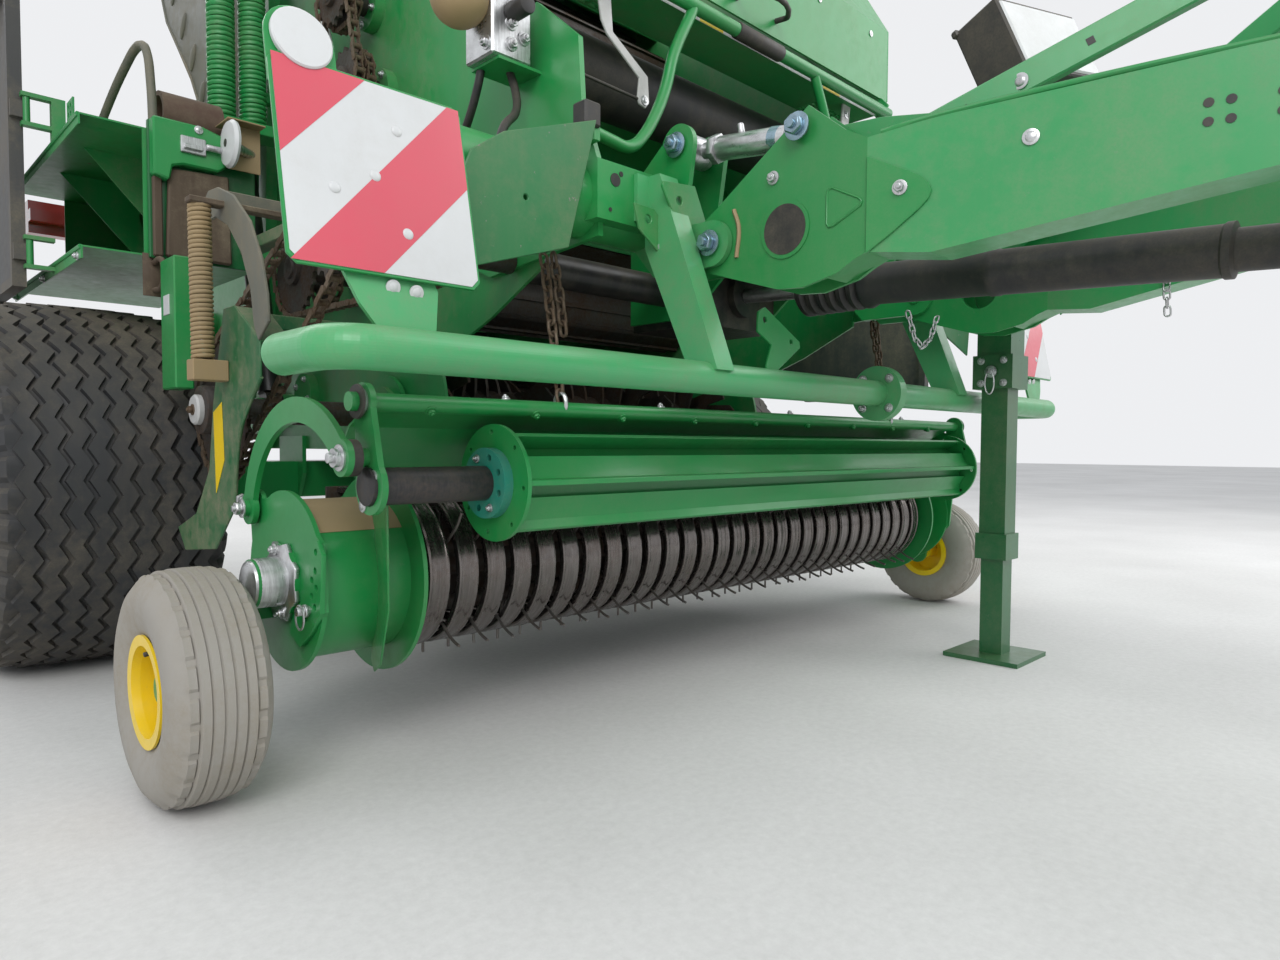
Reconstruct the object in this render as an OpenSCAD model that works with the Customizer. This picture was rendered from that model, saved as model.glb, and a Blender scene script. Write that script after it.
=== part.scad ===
// Fixed-chamber round baler with a camless pickup, standing on its jack.
// Millimetres. The drawbar points to -Y, the tailgate to +Y, Z is up,
// and the ground is Z = 0 under the middle of the machine.

/* [Chamber] */
// Height of the bale chamber's centre
chamber_z = 1420; // [1410:5:1440]
// Distance of the chamber's centre behind the gauge wheels
chamber_y = 1320; // [1315:5:1325]
// Radius of the ring on which the rollers' centres lie
ring_r = 735; // [725:5:740]
// Outer diameter of a chamber roller over its ribs
roller_d = 200; // [180:5:205]
// Ribs around one chamber roller
roller_ribs = 10; // [8:1:12]
// Wall of a roller's tube
tube_t = 6; // [4:1:8]
// Half of the chamber's clear width
wall_in = 605; // [595:5:607]
// Thickness of the chamber's side walls
wall_t = 8; // [6:1:8]

/* [Main wheels] */
// Outer diameter of a main tyre
tyre_d = 932; // [910:2:940]
// Width of a main tyre
tyre_w = 500; // [460:10:500]
// Distance between the middles of the main tyres
track = 2380; // [2360:10:2400]
// Distance of the axle behind the gauge wheels
axle_y = 1200; // [1190:5:1210]
// Diameter of the seat that carries the tyre's beads
rim_d = 432; // [420:2:440]
// Diameter of the axle's spindle
spindle_d = 70; // [60:1:72]

/* [Gauge wheels] */
// Outer diameter of a gauge wheel's tyre
gauge_d = 375; // [365:1:378]
// Width of a gauge wheel's tyre
gauge_w = 150; // [130:5:155]
// Distance between the middles of the gauge wheels
gauge_track = 2560; // [2550:5:2580]
// Diameter of the seat on a gauge wheel's rim
gauge_rim_d = 152; // [146:1:156]
// Diameter of a gauge wheel's spindle
gauge_pin_d = 25; // [20:1:28]

/* [Pickup] */
// Height of the reel's axis
reel_z = 335; // [330:1:340]
// Distance of the reel's axis behind the gauge wheels
reel_y = 20; // [16:1:24]
// Radius over the tips of the tines
tine_r = 208; // [196:1:210]
// Thickness of a tine
tine_t = 6.5; // [5:0.5:7]
// Tine bars on the reel
tine_bars = 5; // [4:1:5]
// Outer radius of the stripper bands
band_r = 150; // [144:1:154]
// Width of one stripper band
band_w = 44; // [38:1:45]
// Distance from one stripper band to the next
band_pitch = 62; // [60:0.5:62.5]
// Stripper bands across the pickup
band_n = 30; // [26:2:30]
// Thickness of a stripper band
band_t = 3; // [2:0.5:4]

/* [Press roller] */
// Distance of the press roller's axis in front of the gauge wheels
press_y = -245; // [-252:1:-244]
// Height of the press roller's axis
press_z = 508; // [506:1:516]
// Radius of the press roller's end discs
press_r = 102; // [92:1:102]
// Half of the press roller's length over its end discs
press_half = 865; // [820:5:870]
// Longitudinal ribs on the press roller
press_ribs = 6; // [5:1:8]
// Diameter of the wind guard's tube
wind_d = 30; // [26:1:34]

/* [Rotor] */
// Distance of the rotor's axis behind the gauge wheels
rotor_y = 580; // [576:1:584]
// Height of the rotor's axis
rotor_z = 650; // [646:1:654]
// Radius over the rotor's tines
rotor_r = 230; // [215:1:232]
// Rows of tine plates along the rotor
rotor_rows = 22; // [18:1:24]

/* [Front frame] */
// Diameter of the front cross tube
cross_d = 140; // [130:2:142]
// Half of the cross tube's length
cross_half = 960; // [920:10:965]
// Diameter of the guard tube in front of the pickup
guard_d = 60; // [54:1:60]
// Height of the guard tube
guard_z = 700; // [690:1:712]
// Side of a warning board
board_side = 282; // [280:1:284]

/* [Drawbar] */
// Outer half width over the drawbar's head plates
head_half = 450; // [444:1:450]
// Thickness of the drawbar's head plates
head_t = 8; // [6:1:8]
// Diameter of the round hole in a head plate
head_hole_d = 90; // [70:2:96]
// Diameter of the pins in the drawbar's head
head_pin_d = 30; // [24:1:32]
// Outer diameter of the towing eye
eye_d = 110; // [100:1:116]
// Bore of the towing eye
eye_bore_d = 52; // [40:1:56]

/* [Jack] */
// Side of the square jack sleeve
sleeve_side = 90; // [86:1:94]
// Side of the square jack leg
leg_side = 70; // [66:1:74]
// Side of the jack's foot plate
foot_side = 200; // [160:5:210]

/* [Tailgate] */
// Gap between the front housing and the tailgate
gate_gap = 16; // [12:1:20]
// Outside diameter of a tailgate cylinder's barrel
gate_barrel_d = 70; // [60:1:76]
// Diameter of a tailgate cylinder's rod
gate_rod_d = 35; // [28:1:40]

/* [Doors] */
// Distance of a side door's hinge from the middle of the machine
door_x = 1300; // [1298:1:1310]
// Length of a side door
door_len = 1090; // [1040:5:1090]
// Thickness of a side door's sheet with its rim
door_t = 30; // [20:1:32]

/* [Hidden] */
$fn = 48;

// Clearances
fit = 0.5;
seat = 0.3;

// Chamber
wall_out = wall_in + wall_t;
roller_step = 19;
front_angles = [99, 118, 137, 156, 175, 194, 213, 250, 268.5];
rear_angles = [80, 61, 42, 23, 4, -15, -34, -53, -72];
shell_r = ring_r + roller_d / 2 + 20;
shell_t = 6;
bearing_d = 116;
bearing_w = 28;

// Tailgate: the parting line leans back below the hinge
hinge_y = 1314;
part_slope = 0.0679;
gate_top = 2290;
hinge_z = gate_top + 40;
wall_bottom = 560;
upright_w = 62;
upright_x = 34;

// Tailgate cylinders
cyl_x = wall_out + 77;
cyl_w = 50;
cyl_pin_d = 30;
cyl_base = [1180, 700];
cyl_eye = [1500, 1950];
cyl_barrel_len = 960;

// Wheels
axle_z = tyre_d / 2;
axle_side = 110;
axle_half = 900;
gauge_z = gauge_d / 2;

// Front frame
cross_y = -190;
cross_z = 1050;
gusset_t = 12;
gusset_bottom = 945;
guard_y = -430;
guard_half = 1180;
guard_bend = 50;
bracket_face = -275;
strut_x = 475;
strut_w = 50;

// Drawbar
head_in = head_half - 80;
pivot = [-393, 963];
link_rear = [-305, 1170];
link_front = [-589, 1134];
clevis_t = 12;
beam_rear_y = -640;
beam_front_y = -2060;
tip_y = -2210;
eye_y = tip_y + eye_d / 2;
eye_z = 1050;

// Power shaft, which falls towards the tractor
pto_tilt = 2.75;
gearbox_y = -100;
pto_z = 955.8;
pto_bore_d = 35;

// Pickup
shield_x = 945;
shield_r = 185;
plate_x = 1112;
press_pivot = [143, 456];
wind = [-224, 640];
arm_bolt = [-235, 553];
arm_right = 1085;
arm_left = 962;
arm_t = 10;
pickup_arm_x = 620;
housing_d = 150;
sheet_face = 238;
beam_face = 243.3;
beam_back = 313;

// Jack
jack_x = 600;
jack_y = -520;
sleeve_low = 730;
sleeve_top = 1180;
leg_low = 270;
foot_t = 12;

// Outlines in the YZ plane, drawn as [y, z] and given a thickness along X
module along_x(x0, t) translate([x0, 0, 0]) rotate([90, 0, 90]) linear_extrude(t) children();

// Outlines in the XZ plane, drawn as [x, z] and given a thickness along Y
module along_y(y0, t) translate([0, y0 + t, 0]) rotate([90, 0, 0]) linear_extrude(t) children();

// A round bar along X
module bar_x(x0, x1, p, d) translate([x0, p[0], p[1]]) rotate([0, 90, 0]) cylinder(d = d, h = x1 - x0);

// A box from its lowest to its highest corner
module block(a, b) translate(a) cube(b - a);

// A round rod between two points
module rod(p, q, d) {
    v = q - p;
    len = norm(v);
    translate(p) rotate([0, acos(v[2] / len), atan2(v[1], v[0])]) cylinder(d = d, h = len);
}

// A curved band around an axis along X, from angle a0 to a1
module arc_x(x0, t, p, r0, r1, a0, a1) {
    translate([x0, p[0], p[1]]) rotate([90, 0, 90]) rotate([0, 0, a0])
        rotate_extrude(angle = a1 - a0) translate([r0, 0]) square([r1 - r0, t]);
}

// A solid of revolution around an axis along X, from [radius, x] points
module spin_x(x0, p) translate([x0, p[0], p[1]]) rotate([0, 90, 0]) rotate_extrude() children();

module at_right() mirror([1, 0, 0]) children();

module both_sides() {
    children();
    at_right() children();
}

function part_y(z) = hinge_y + (hinge_z - z) * part_slope;
function on_ring(a, r = ring_r) = [chamber_y + r * cos(a), chamber_z + r * sin(a)];
function pto_at(y) = pto_z + (y - gearbox_y) * tan(pto_tilt);

// The side of a line from a to b
function side_of(a, b) = [a[1] - b[1], b[0] - a[0]] / norm(b - a);

// The point beside points[i] at a distance t from both of its lines
function beside(points, i, t) = let (
    n = side_of(points[max(i - 1, 0)], points[max(i, 1)]),
    m = side_of(points[min(i, len(points) - 2)], points[min(i + 1, len(points) - 1)]))
    points[i] + (n + m) * t / (1 + n * m);

// A strip of sheet along a row of [y, z] points, t thick
module strip(points, t) {
    polygon(concat(points, [for (i = [len(points) - 1 : -1 : 0]) beside(points, i, t)]));
}

// Chamber walls

wall_points = [[-60, gusset_bottom], [-60, 1350], [20, 1560], [20, 1700], [330, 2060], [700, 2262],
    [part_y(gate_top) - gate_gap / 2, gate_top], [part_y(wall_bottom) - gate_gap / 2, wall_bottom],
    [rotor_y + 260, wall_bottom], [rotor_y, 500], [rotor_y - 240, 780], [120, 860]];

module wall_side() {
    difference() {
        union() {
            along_x(wall_in, wall_t) union() {
                polygon(wall_points);
                translate([rotor_y, rotor_z]) circle(r = rotor_r + 40);
            }
            for (a = front_angles) bar_x(wall_out - 1, wall_out + bearing_w, on_ring(a), bearing_d);
            bar_x(wall_out - 1, wall_out + 32, [rotor_y, rotor_z], housing_d);
            bar_x(wall_out - 1, cyl_x - cyl_w / 2 - 2, cyl_base, 60);
            bar_x(wall_out - 1, cyl_x + cyl_w / 2 + 20, cyl_base, cyl_pin_d);
            along_x(wall_out - 1, upright_x + 1) polygon([
                [part_y(gate_top) - gate_gap / 2, gate_top],
                [part_y(wall_bottom) - gate_gap / 2, wall_bottom],
                [part_y(wall_bottom) - gate_gap / 2 - upright_w, wall_bottom],
                [part_y(gate_top) - gate_gap / 2 - upright_w, gate_top]]);
            along_x(wall_out - 1, upright_x + 1) polygon([[hinge_y - 74, gate_top - 60], [hinge_y - 50, hinge_z + 30],
                [hinge_y + 20, hinge_z + 30], [hinge_y + 20, hinge_z - 20], [part_y(gate_top) - gate_gap / 2, gate_top],
                [part_y(gate_top) - gate_gap / 2, gate_top - 60]]);
        }
        bar_x(wall_in - 1, wall_out + 40, [rotor_y, rotor_z], 60 + 2 * fit);
        bar_x(wall_in - 1, wall_out + upright_x + 1, [hinge_y, hinge_z], cyl_pin_d + 2 * fit);
    }
}

module side_wall_left() color("darkgreen") wall_side();
module side_wall_right() color("darkgreen") at_right() wall_side();

module chamber_roller(a) {
    p = on_ring(a);
    core = roller_d / 2 - 8;
    bar_x(-wall_in, wall_in, p, 50);
    for (x = [-wall_in + 12, -4, wall_in - 20]) bar_x(x, x + 8, p, 2 * core - 2);
    along_x(-wall_in + 12, 2 * wall_in - 24) translate(p) difference() {
        union() {
            circle(r = core);
            for (k = [0 : roller_ribs - 1]) rotate(k * 360 / roller_ribs)
                translate([core - 4, -6]) square([12, 12]);
        }
        circle(r = core - tube_t);
    }
}

module front_rollers() color("dimgray") for (a = front_angles) chamber_roller(a);
module rear_rollers() color("dimgray") for (a = rear_angles) chamber_roller(a);

module roof() {
    color("green") {
        arc_x(-wall_in, 2 * wall_in, [chamber_y, chamber_z], shell_r, shell_r + shell_t, 91.3, 128);
        arc_x(-wall_in, 2 * wall_in, [chamber_y, chamber_z], shell_r, shell_r + shell_t, 150, 196);
        for (a = [104, 120, 160, 178]) let (p = on_ring(a, shell_r + shell_t - 1))
            along_x(-wall_in, 2 * wall_in) translate(p) rotate(a) square([26, 30], center = true);
    }
}

function at_arc(a) = [rotor_y, rotor_z] + (rotor_r + 18) * [cos(a), sin(a)];

module feed_floor() {
    color("dimgray") {
        arc_x(-wall_in, 2 * wall_in, [rotor_y, rotor_z], rotor_r + 15, rotor_r + 21, 200, 335);
        along_x(-wall_in, 2 * wall_in) polygon([[264, 494], [at_arc(201)[0], at_arc(201)[1]],
            [at_arc(203.5)[0], at_arc(203.5)[1]], [267, 488]]);
        along_x(-wall_in, 2 * wall_in) polygon([[at_arc(333)[0], at_arc(333)[1]], [950, 640],
            [950, 634], [at_arc(331)[0], at_arc(331)[1]]]);
    }
}

// Rotor with bent tine plates in a spiral

module rotor() {
    color("dimgray") translate([0, rotor_y, rotor_z]) {
        difference() {
            bar_x(-wall_in + 5, wall_in - 5, [0, 0], 160);
            bar_x(-wall_in + 15, wall_in - 15, [0, 0], 144);
        }
        // Stub shafts bolted to the ends of the drum
        both_sides() bar_x(wall_in - 5 + seat, wall_out + 3, [0, 0], 60);
        for (i = [0 : rotor_rows - 1]) {
            x = (i - (rotor_rows - 1) / 2) * (2 * wall_in - 90) / (rotor_rows - 1);
            turn = abs(i - (rotor_rows - 1) / 2) * 16;
            translate([x - 4, 0, 0]) rotate([90, 0, 90]) linear_extrude(8) rotate(turn)
                for (k = [0 : 3]) rotate(k * 90)
                    polygon([[40, -50], [70, -56], [rotor_r - 30, -24], [rotor_r - 4, 14], [rotor_r - 8, 24],
                        [150, 6], [96, 34], [40, 50]]);
        }
    }
}

// Front frame

module clevis_plate(x0) {
    along_x(x0, clevis_t) union() {
        translate(link_rear) circle(r = 42);
        translate(pivot) circle(r = 44);
        polygon([[-347, 1165], [-330, 1060], [-345, 1007], [-393, 1007], [-437, 963], [-393, 919], [-240, 919],
            [-180, 985], [-180, 1115], [-262, 1180]]);
    }
}

module front_beam() {
    color("green") difference() {
        union() {
            bar_x(-cross_half, cross_half, [cross_y, cross_z], cross_d);
            both_sides() {
                along_x(wall_out, gusset_t) polygon([[-250, gusset_bottom + 30], [-250, 1110], [-200, 1240],
                    [-190, 1370], [-60, 1480], [150, 1480], [200, 1240], [200, gusset_bottom + 40],
                    [110, gusset_bottom]]);
                block([strut_x - 25, bracket_face, 1000], [strut_x + 175, cross_y, 1110]);
                clevis_plate(head_half + 2);
                clevis_plate(head_in - 2 - clevis_t);
                bar_x(head_in - 20, head_half + 20, pivot, head_pin_d);
                bar_x(head_in - 20, head_half + 20, link_rear, head_pin_d);
                along_x(140, 10) polygon([[cross_y, 1000], [cross_y, 1110], [150, 1090], [150, 890],
                    [-60, 890]]);
                bar_x(cross_half - 10, cross_half + 6, [cross_y, cross_z], cross_d + 16);
            }
            block([170, cross_y - 60, cross_z + cross_d / 2 - 14], [380, cross_y + 60, cross_z + cross_d / 2 + 4]);
            at_right() block([690, -75, 1330], [730, 20, 1336]);
            at_right() block([wall_out + 2, -75, 1330], [700, 20, 1336]);
            at_right() block([wall_out + gusset_t + 60, cross_y + 5, 945], [wall_out + gusset_t + 80, cross_y + 45, 1010]);
            block([520, cross_y + 5, 945], [540, cross_y + 45, 1010]);
        }
        both_sides() bar_x(135, 155, [30, 965], 77);
    }
}

module guard_tube() {
    color("limegreen") {
        bar_x(-guard_half, guard_half, [guard_y, guard_z], guard_d);
        bar_x(100, 128, [guard_y, guard_z], 130);
        both_sides() {
            translate([guard_half, guard_y + guard_bend, guard_z]) rotate([0, 0, -90])
                rotate_extrude(angle = 90) translate([guard_bend, 0]) circle(d = guard_d);
            translate([guard_half + guard_bend, guard_y + guard_bend, guard_z]) rotate([-90, 0, 0])
                cylinder(d = guard_d, h = 120);
            leaning() along_y(0, 6) polygon([[1085, 4], [1150, 4], [1190, 60], [1230, 150],
                [1090, 150], [1070, 90]]);
            along_x(strut_x, strut_w) polygon([[guard_y - 34, guard_z + 14], [guard_y + 34, guard_z + 10],
                [bracket_face - 1, 960], [bracket_face - 1, 1100], [bracket_face - 40, 1100]]);
            block([strut_x - 6, bracket_face - 10, 1010], [strut_x + 80, bracket_face - seat, 1100]);
        }
    }
}

// The boards and their brackets lean back from the guard tube
module leaning() translate([0, guard_y + 5, guard_z]) rotate([-11.5, 0, 0]) children();

module warning_boards() {
    color("white") both_sides() leaning() along_y(-10, 10 - seat) translate([1144, 239]) union() {
        square([board_side, board_side], center = true);
        translate([board_side / 2 - 47, board_side / 2 + 27]) circle(r = 42);
        translate([board_side / 2 - 89, 90]) square([84, 60]);
    }
}

// Drawbar

head_points = [[-345, 925], [-345, 1000], [-395, 1030], [-604, 1170], [-715, 1078], [-715, 898],
    [-664, 870], [-593, 855], [-538, 859], [-377, 910]];

module drawbar() {
    color("green") difference() {
        union() {
            both_sides() {
                along_x(head_half - head_t, head_t) polygon(head_points);
                along_x(head_in, head_t) polygon(head_points);
                intersection() {
                    linear_extrude(1300) polygon([[head_in, beam_rear_y], [head_half, beam_rear_y],
                        [head_half, -720], [110, beam_front_y], [30, beam_front_y], [head_in, -720]]);
                    along_x(0, head_half) polygon([[beam_rear_y, 866], [beam_rear_y, 1130], [-720, 1085],
                        [-820, 1097], [-1260, 1115], [beam_front_y, 1112], [beam_front_y, 992],
                        [-1260, 950], [-820, 885], [-720, 897]]);
                }
            }
            block([head_half - 1, -575, 1030], [jack_x - sleeve_side / 2 - 40, -495, 1100]);
            block([-40, beam_front_y, 992], [40, -2060, 1112]);
            block([-230, -1500, 1030], [230, -1440, 1090]);
            block([-100, beam_front_y - 20, 970], [100, beam_front_y, 1130]);
        }
        both_sides() {
            bar_x(head_in - 1, head_half + 1, pivot, head_pin_d + 2 * fit);
            bar_x(head_in - 1, head_half + 1, link_front, head_pin_d + 2 * fit);
            bar_x(head_in - 1, head_half + 1, [-557, 963], head_hole_d);
        }
    }
}

module hitch_eye() {
    color("silver") difference() {
        union() {
            translate([0, eye_y, eye_z - 22]) cylinder(d = eye_d, h = 45);
            block([-38, eye_y + 20, eye_z - 22], [38, beam_front_y - 38, eye_z + 23]);
            block([-80, beam_front_y - 40, 985], [80, beam_front_y - 20, 1115]);
        }
        translate([0, eye_y, eye_z - 30]) cylinder(d = eye_bore_d, h = 60);
    }
}

module top_links() {
    mid = (head_in + head_half) / 2;
    color("silver") both_sides() difference() {
        union() {
            for (p = [link_rear, link_front]) bar_x(mid - 31, mid + 31, p, 62);
            rod([mid, link_rear[0], link_rear[1]], [mid, link_front[0], link_front[1]], 44);
        }
        bar_x(mid - 40, mid + 40, link_rear, head_pin_d + 2 * fit);
        bar_x(mid - 40, mid + 40, link_front, head_pin_d + 2 * fit);
    }
    color("silver") both_sides() bar_x(head_in - 18, head_half + 14, link_front, head_pin_d);
}

// Axle and wheels

module axle() {
    color("green") {
        block([-axle_half, axle_y - axle_side / 2, axle_z - axle_side / 2],
            [axle_half, axle_y + axle_side / 2, axle_z + axle_side / 2]);
        both_sides() {
            along_x(wall_out, gusset_t) polygon([[axle_y - 90, axle_z + 20], [axle_y - 90, 600], [axle_y + 85, 600],
                [axle_y + 85, axle_z + 20], [axle_y + 55, axle_z - 55], [axle_y - 55, axle_z - 55]]);
            bar_x(axle_half - 1, track / 2 - 10, [axle_y, axle_z], spindle_d);
            bar_x(axle_half - 1, axle_half + 14, [axle_y, axle_z], 105);
        }
    }
}

tyre_outer = [[rim_d / 2, -195], [rim_d / 2 + 18, -206], [tyre_d / 2 - 180, -238], [tyre_d / 2 - 110, -tyre_w / 2],
    [tyre_d / 2 - 60, -tyre_w / 2 + 4], [tyre_d / 2 - 22, -tyre_w / 2 + 24], [tyre_d / 2 - 6, -tyre_w / 2 + 60],
    [tyre_d / 2, -tyre_w / 2 + 110]];
tyre_inner = [[rim_d / 2 + 14, -170], [tyre_d / 2 - 170, -212], [tyre_d / 2 - 90, -222], [tyre_d / 2 - 40, -190]];

function flip(points) = [for (i = [len(points) - 1 : -1 : 0]) [points[i][0], -points[i][1]]];

module tyre(x) {
    color("#222222") spin_x(x, [axle_y, axle_z]) difference() {
        polygon(concat(tyre_outer, flip(tyre_outer)));
        polygon(concat([[rim_d / 2 - 1, -170]], tyre_inner, flip(tyre_inner), [[rim_d / 2 - 1, 170]]));
    }
}

module rim(x) {
    s = rim_d / 2 - seat;
    color("gainsboro") spin_x(x, [axle_y, axle_z]) polygon([[s, -196], [s + 20, -208], [s + 22, -214],
        [s - 6, -214], [s - 12, -190], [s - 12, 30], [110, 44], [110, 52], [95, 52], [95, -150],
        [spindle_d / 2 + fit, -150], [spindle_d / 2 + fit, 0], [0, 0], [0, 80], [50, 80], [60, 66], [122, 62],
        [s - 12, 46], [s - 12, 190], [s - 6, 214], [s + 22, 214], [s + 20, 208], [s, 196]]);
}

module tyre_left() tyre(track / 2);
module rim_left() rim(track / 2);
module tyre_right() at_right() tyre(track / 2);
module rim_right() at_right() rim(track / 2);

gauge_outer = [[gauge_rim_d / 2, -58], [gauge_rim_d / 2 + 12, -62], [gauge_d / 2 - 60, -gauge_w / 2 + 3],
    [gauge_d / 2 - 38, -gauge_w / 2], [gauge_d / 2 - 14, -gauge_w / 2 + 8], [gauge_d / 2 - 3, -gauge_w / 2 + 24],
    [gauge_d / 2, -gauge_w / 2 + 44]];
gauge_inner = [[gauge_rim_d / 2 + 10, -50], [gauge_d / 2 - 50, -60], [gauge_d / 2 - 22, -52]];

module gauge_tyre(x) {
    color("dimgray") spin_x(x, [0, gauge_z]) difference() {
        polygon(concat(gauge_outer, flip(gauge_outer)));
        polygon(concat([[gauge_rim_d / 2 - 1, -50]], gauge_inner, flip(gauge_inner), [[gauge_rim_d / 2 - 1, 50]]));
    }
}

module gauge_rim(x) {
    s = gauge_rim_d / 2 - seat;
    b = gauge_pin_d / 2 + fit;
    color("gold") spin_x(x, [0, gauge_z]) polygon([[s, -58], [s + 13, -64], [s + 13, -68], [s - 4, -67], [s - 6, -54],
        [s - 6, -8], [30, 0], [24, 0], [24, -55], [b, -55], [b, 30], [24, 30], [24, 8], [30, 8], [s - 6, 0],
        [s - 6, 54], [s - 4, 67], [s + 13, 68], [s + 13, 64], [s, 58]]);
}

module gauge_tyre_left() gauge_tyre(gauge_track / 2);
module gauge_rim_left() gauge_rim(gauge_track / 2);
module gauge_tyre_right() at_right() gauge_tyre(gauge_track / 2);
module gauge_rim_right() at_right() gauge_rim(gauge_track / 2);

// Pickup

module pickup_side(drum) {
    // The arm that swings around the rotor's housing
    difference() {
        along_x(pickup_arm_x, 12) union() {
            translate([rotor_y, rotor_z]) circle(r = 105);
            polygon([[beam_face + 1, 262], [beam_face + 1, 328], [300, 420], [rotor_y - 80, rotor_z + 66],
                [rotor_y + 60, rotor_z - 84], [420, 400], [beam_back - 1, 262]]);
        }
        bar_x(pickup_arm_x - 1, pickup_arm_x + 13, [rotor_y, rotor_z], housing_d + 2 * fit);
    }
    difference() {
        union() {
            along_x(shield_x, 8) union() {
                translate([reel_y, reel_z]) circle(r = shield_r);
                polygon([[60, 185], [beam_back, 250], [beam_back, 340], [150, 470]]);
            }
            if (drum) {
                difference() {
                    bar_x(shield_x + 7, plate_x + 1, [reel_y, reel_z], 280);
                    bar_x(shield_x + 6, plate_x + 2, [reel_y, reel_z], 266);
                }
            } else {
                along_x(shield_x + 7, plate_x - shield_x - 6) polygon([[90, 240], [90, 300], [170, 300], [170, 240]]);
                along_x(shield_x + 7, plate_x - shield_x - 6) polygon([[-60, 250], [-60, 280], [0, 240], [0, 210]]);
            }
            along_x(plate_x, 8) union() {
                translate([reel_y, reel_z]) circle(r = 158);
                translate(press_pivot) circle(r = 34);
                polygon([[reel_y, reel_z + 150], [press_pivot[0] - 30, press_pivot[1] + 18],
                    [press_pivot[0] + 30, press_pivot[1] - 18], [reel_y + 140, reel_z]]);
                polygon([[-138, 300], [-128, 412], [-104, 428], [-60, 410], [20, 335], [-40, 240], [-100, 250]]);
            }
            bar_x(plate_x + 7, plate_x + 66, [reel_y, reel_z], 84);
            bar_x(plate_x + 7, plate_x + 16, [reel_y, reel_z], 130);
            // Gauge wheel arm and spindle
            along_x(plate_x + 7, 50) polygon([[70, 262], [70, 300], [150, 300], [150, 262]]);
            along_x(plate_x + 54, 12) union() {
                translate([0, gauge_z]) circle(r = 34);
                polygon([[-22, gauge_z + 26], [60, 310], [160, 310], [160, 255], [26, gauge_z - 22]]);
            }
            bar_x(plate_x + 60, gauge_track / 2 + 34, [0, gauge_z], gauge_pin_d);
            bar_x(gauge_track / 2 + 32, gauge_track / 2 + 48, [0, gauge_z], 40);
        }
        bar_x(shield_x - 1, plate_x - 10, [reel_y, reel_z], 50 + 2 * fit);
    }
}

module pickup_frame() {
    color("limegreen") {
        block([-shield_x - 1, beam_face, 255], [shield_x + 1, beam_back, 335]);
        pickup_side(false);
        bar_x(shield_x + 7, 1000, press_pivot, 30);
        at_right() {
            pickup_side(true);
            bar_x(plate_x + 7, plate_x + 34, press_pivot, 30);
        }
    }
}

module stripper_bands() {
    top = reel_z + band_r;
    low = reel_z - band_r;
    color("#3a3a3a") {
        for (i = [0 : band_n - 1]) {
            x = (i - (band_n - 1) / 2) * band_pitch;
            along_x(x - band_w / 2, band_w) union() {
                difference() {
                    translate([reel_y, reel_z]) circle(r = band_r);
                    translate([reel_y, reel_z]) circle(r = band_r - band_t);
                    translate([reel_y, reel_z - 2 * band_r]) square([2 * band_r, 4 * band_r]);
                }
                translate([reel_y - 0.5, top - band_t]) square([sheet_face + 3 - reel_y, band_t]);
                translate([reel_y - 0.5, low]) square([sheet_face + 3 - reel_y, band_t]);
            }
        }
        block([-shield_x + seat, sheet_face, low], [shield_x - seat, beam_face - seat, top]);
    }
}

module reel() {
    color("#555555") translate([0, reel_y, reel_z]) {
        bar_x(-plate_x + 12, plate_x - 12, [0, 0], 50);
        for (x = [-912, -310, 302, 904]) bar_x(x, x + 8, [0, 0], 236);
        for (k = [0 : tine_bars - 1]) rotate([k * 360 / tine_bars, 0, 0])
            translate([-920, 84, -13]) cube([1840, 26, 26]);
        for (i = [0 : band_n - 2]) {
            x = (i - (band_n - 2) / 2) * band_pitch;
            translate([x - tine_t / 2, 0, 0]) rotate([90, 0, 90]) linear_extrude(tine_t)
                for (k = [0 : tine_bars - 1]) rotate(k * 360 / tine_bars)
                    polygon([[90, -8], [112, -12], [tine_r - 3, 12], [tine_r - 5, 20], [118, 4], [90, 8]]);
        }
    }
}

module press_arms() {
    color("limegreen") {
        bar_x(-arm_right - arm_t - 22, arm_left + arm_t + 12, wind, wind_d);
        for (s = [[-arm_right - arm_t, -arm_right - arm_t - 41], [arm_left, arm_left + arm_t + 7]])
            difference() {
                union() {
                    along_x(s[0], arm_t) union() {
                        translate(wind) circle(r = 30);
                        translate(arm_bolt) circle(r = 34);
                        translate([press_y, press_z]) circle(r = 44);
                        polygon([wind + [26, 0], wind - [26, 0], [press_y - 39, press_z], [press_y + 39, press_z]]);
                    }
                    arc_x(s[1], arm_t, [-69, 415], 195, 237, 13, 138);
                    along_x(s[1], arm_t) union() {
                        translate(press_pivot) circle(r = 30);
                        translate(arm_bolt) circle(r = 29);
                    }
                    bar_x(min(s[0], s[1]) + 2, max(s[0], s[1]) + arm_t - 2, arm_bolt, 30);
                }
                bar_x(s[0] - 1, s[0] + arm_t + 1, [press_y, press_z], 60 + 2 * fit);
                bar_x(s[1] - 1, s[1] + arm_t + 1, press_pivot, 30 + 2 * fit);
            }
        along_x(-arm_right + 4, arm_right + arm_left - 8) strip([wind + [3, -5], [-152, 602], [-96, 532]], 4);
    }
}

module press_roller() {
    color("gray") translate([0, press_y, press_z]) {
        bar_x(-arm_right - arm_t - 6, arm_left + arm_t + 6, [0, 0], 60);
        difference() {
            bar_x(-press_half, press_half, [0, 0], 118);
            bar_x(-press_half + 6, press_half - 6, [0, 0], 106);
        }
        for (x = [-press_half, press_half - 6]) bar_x(x, x + 6, [0, 0], 2 * press_r);
        for (k = [0 : press_ribs - 1]) rotate([45 + k * 360 / press_ribs, 0, 0])
            translate([-press_half + 1, 50, -5]) cube([2 * press_half - 2, press_r - 56, 10]);
    }
}

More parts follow.
